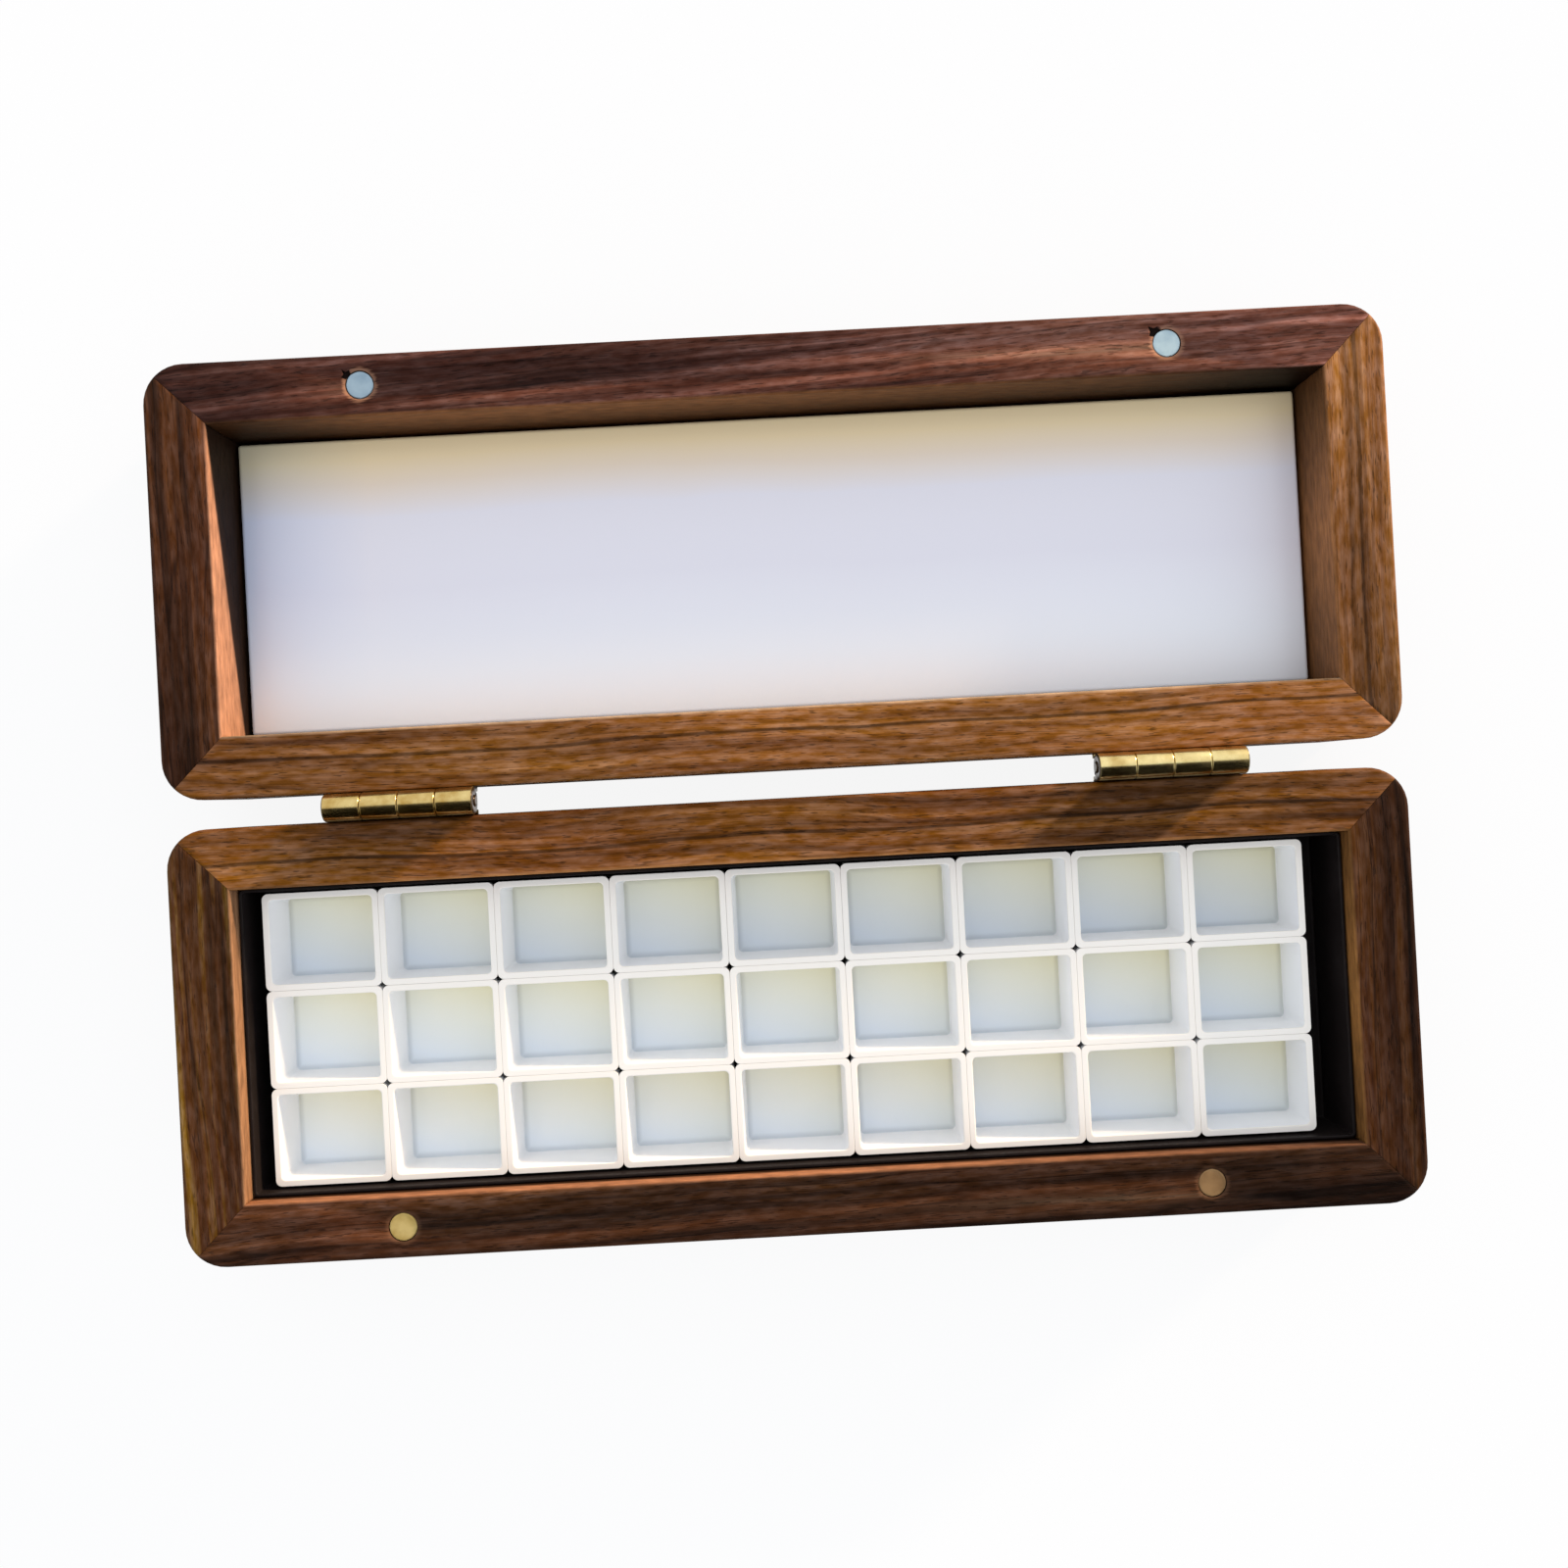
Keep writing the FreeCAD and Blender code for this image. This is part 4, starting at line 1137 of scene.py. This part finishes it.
# Painted shade and reflection on the barrel's ends and on its lower side towards the base.
at_end = add("MapRange", from_middle, *((barrel_half - inset) * MM for inset in END_BAND))
low_down = add("MapRange", z, *((AXIS_Z + rise) * MM for rise in LOW_BAND), 1.0, 0.0)
base_side = add("MapRange", y, *(across * MM for across in SIDE_BAND), 1.0, 0.0)
on_barrel = add("MapRange", z, *((AXIS_Z + rise) * MM for rise in BARREL_BAND))
for share in (base_side, on_barrel):
    low_down = add("Math:MULTIPLY", low_down, share)
painted_dark_side = add("Math:MAXIMUM", at_end, low_down)
tint = add("Mix:RGBA", painted_dark_side, tint, linear("#3a2a14"))
coat(add, shader, tint, (drawn, 0, 1, 0.14, 0.34), (drawn, 0.08, 0.01),
     Metallic=add("MapRange", painted_dark_side, 0.0, 1.0, 1.0, 0.35))

for hinge in ("left", "right"):
    for half in ("base", "lid"):
        finish_piece(make_leaf(hinge, half), half, f"hinge_{hinge}_{half}_leaf", brass)
    node = f"hinge_{hinge}_pin"
    low, high, centre = box_mm(node)
    radius = (high[2] - low[2]) / 2
    profile = slab(low[0], high[0], radius - 0.1, 0.3, 0.3, hold=0.1) + (radius, 0)
    pin = tube_piece(node + "_wire", lying_points((0, AXIS_Z), 0, profile, "X"))
    finish_piece(pin, "base", node, brass)
print("two hinges are pinned")

# %% [markdown]
# A wood screw is turned round its axis: flat head, cone, then a thread. The thread is a ridge that
# climbs one pitch for each turn, so its phase is the depth over the pitch less the angle over a full
# turn. The slot is sawn across the head, at whatever angle the screw stopped.

# %% Screws
THREAD_PITCH = 0.8
THREAD_DEPTH = 0.14
THREAD_SHARE = 0.95  # of its depth, which keeps the crest inside the drilled hole
SLOT_WIDTH = 0.4
SLOT_DEPTH = 0.35
SCREW_SIDES = 32
CONE_DEPTH = 0.75
THREAD_START = 1.4
TIP = ((0.45, 0.6), (0.2, 0.2), (0.03, 0))  # radii, and how far before the end
SLOT_ANGLES = {"base": (20, 75, -35, 50), "lid": (-15, 60, 10, -70)}


def screw_points(x, z, head_y, inward, length):
    """Rings of a screw from its head face inwards along Y."""
    shank = SCREW_NECK - 0.1
    head = eased([(0.3, 0), (SCREW_HEAD, 0), (shank, CONE_DEPTH), (shank, THREAD_START - 0.1)],
                 (0, 0.08, 0.1, 0), steps=2, hold=0.05)
    run = np.arange(THREAD_START, length - 1.0, THREAD_PITCH / 6)
    tip = np.array([(radius, length - before) for radius, before in TIP])
    radius = np.concatenate([head[:, 0], np.full(len(run), SCREW_NECK - THREAD_DEPTH), tip[:, 0]])[:, None]
    depth = np.concatenate([head[:, 1], run, tip[:, 1]])[:, None]
    angle = np.linspace(0, 2 * np.pi, SCREW_SIDES, endpoint=False)
    threaded = (depth >= run[0]) & (depth <= run[-1])
    phase = (depth / THREAD_PITCH - angle / (2 * np.pi)) % 1
    radius = radius + THREAD_DEPTH * THREAD_SHARE * threaded * (1 - 2 * np.abs(phase - 0.5))
    return np.stack([x + radius * np.cos(angle), np.broadcast_to(head_y + inward * depth, radius.shape),
                     z + radius * np.sin(angle)], axis=-1)


def saw_blade(x, z, head_y, inward, degrees):
    """A thin box across the head at an angle, from outside it down to the slot's floor."""
    a = math.radians(degrees)
    along = np.array([math.cos(a), math.sin(a)]) * (SCREW_HEAD + 0.5)
    aside = np.array([-math.sin(a), math.cos(a)]) * SLOT_WIDTH / 2
    corners = np.array([along + aside, -along + aside, -along - aside, along - aside]) + (x, z)
    levels = (head_y - inward * 0.5, head_y + inward * SLOT_DEPTH)
    return tube_piece("saw", np.array([np.insert(corners, 1, y, axis=1) for y in levels]))


print("a thread's crest stands", THREAD_DEPTH, "mm high")

# %% [markdown]
# Four screws hold each tray's leaves, and no two slots stopped at the same angle.

# %% Screws in their places
for half, inward in (("base", -1), ("lid", 1)):
    node = f"{half}_hinge_screws"
    low, high, centre = box_mm(node)
    head_y = high[1] if half == "base" else low[1]
    places = [x for hinge in ("left", "right") for x in screw_places(half, hinge)]
    for number, (x, degrees) in enumerate(zip(places, SLOT_ANGLES[half]), start=1):
        points = screw_points(x, centre[2], head_y, inward, high[1] - low[1])
        screw = tube_piece(f"{node}_{number}", points)
        cut_away(screw, [saw_blade(x, centre[2], head_y, inward, degrees)])
        screw.data.set_sharp_from_angle(angle=SHARP_ANGLE)
        finish_piece(screw, half, node, brass)
print("eight screws of", len(screw.data.polygons), "faces")

# %% [markdown]
# A low warm lamp far off to the upper right rakes over the rims, as evening light does, and draws
# bright strips down the inner walls. An even, slightly cool sky fills the shade, and the camera and
# mirrors see it as plain white.

# %% Light
LAMP_TOWARDS = np.array([1.4, 1.0, 0.21])
LAMP_IRRADIANCE = 1.7 * math.pi  # a white surface square to the lamp would render 1.7
LAMP_SPREAD = 8.0  # degrees, which softens the shadows' edges

lamp_data = bpy.data.lights.new("low_warm_lamp", "SUN")
lamp_data.energy = LAMP_IRRADIANCE
lamp_data.color = linear("#ffdcb4")[:3]
lamp_data.angle = math.radians(LAMP_SPREAD)
toward = LAMP_TOWARDS / np.linalg.norm(LAMP_TOWARDS)
right = np.cross((0, 0, 1), toward)
right /= np.linalg.norm(right)
put_in_scene("low_warm_lamp", lamp_data, np.column_stack([right, np.cross(toward, right), toward]))


def seen_directly(add):
    """1 for rays from the camera, a mirror or glass, and 0 for those that light a surface."""
    rays = add("LightPath").outputs
    seen = add("Math:ADD", rays["Is Camera Ray"], rays["Is Glossy Ray"])
    return add("Math:ADD", seen, rays["Is Transmission Ray"], use_clamp=True)


world = bpy.data.worlds.new("even_sky")
world.use_nodes = True
bpy.context.scene.world = world
add = functools.partial(add_node, world.node_tree)
sky = world.node_tree.nodes["Background"]
fill(sky, {"Color": linear("#eef2fc"), "Strength": 1.0})
white = add("Background", (1, 1, 1, 1), 1.0)
fill(world.node_tree.nodes["World Output"], {"Surface": add("MixShader", seen_directly(add), sky, white)})
bpy.context.scene.view_settings.view_transform = "Standard"
print("lamp stands", round(math.degrees(math.asin(toward[2])), 1), "degrees above the table")

# %% [markdown]
# The box lies on a plain pale table, which the camera sees lightened towards white but with the
# object's shadow still on it. Two cards that only reflections see give the brass a dark side, as
# flags do in a studio.

# %% Table and cards
TABLE_REACH = 4.0
TABLE_Z = -0.00003  # a hair under the box
TABLE_LIFT = 0.9  # how much of its white the camera sees without any shade
CARD_REACH = 0.9
CARD_BACK = -0.6


def stage_plane(name, corners):
    """A flat stage piece through four corners in metres."""
    mesh = bpy.data.meshes.new(name)
    mesh.from_pydata(corners, [], [(0, 1, 2, 3)])
    plane = put_in_scene(name, mesh)
    return plane


def show(material, surface):
    """Puts a shader at the material's output in place of its first one."""
    fill(material.node_tree.nodes["Material Output"], {"Surface": surface})


r = TABLE_REACH
table = stage_plane("pale_table", [(-r, -r, TABLE_Z), (r, -r, TABLE_Z), (r, r, TABLE_Z), (-r, r, TABLE_Z)])
table_white, shader, add = new_material("pale_table_laminate")
fill(shader, {"Base Color": linear("#f2f2f2"), "Roughness": 0.9, "Specular IOR Level": 0.0})
lifted = add("Math:MULTIPLY", seen_directly(add), TABLE_LIFT)
show(table_white, add("MixShader", lifted, shader, add("Emission", (1, 1, 1, 1), 1.0)))
table.data.materials.append(table_white)

r, back = CARD_REACH, CARD_BACK
for name, corners in (
        ("dark_card_near", [(-r, back, 0.0), (r, back, 0.0), (r, back, r), (-r, back, r)]),
        ("dark_card_above", [(-r, back, r), (r, back, r), (r, 0.0, r), (-r, 0.0, r)])):
    card = stage_plane(name, corners)
    card_black, shader, add = new_material(name)
    show(card_black, add("Emission", linear("#15130f"), 1.0))
    card.data.materials.append(card_black)
    card.visible_camera = card.visible_diffuse = card.visible_shadow = card.visible_transmission = False
print("a table and two cards")
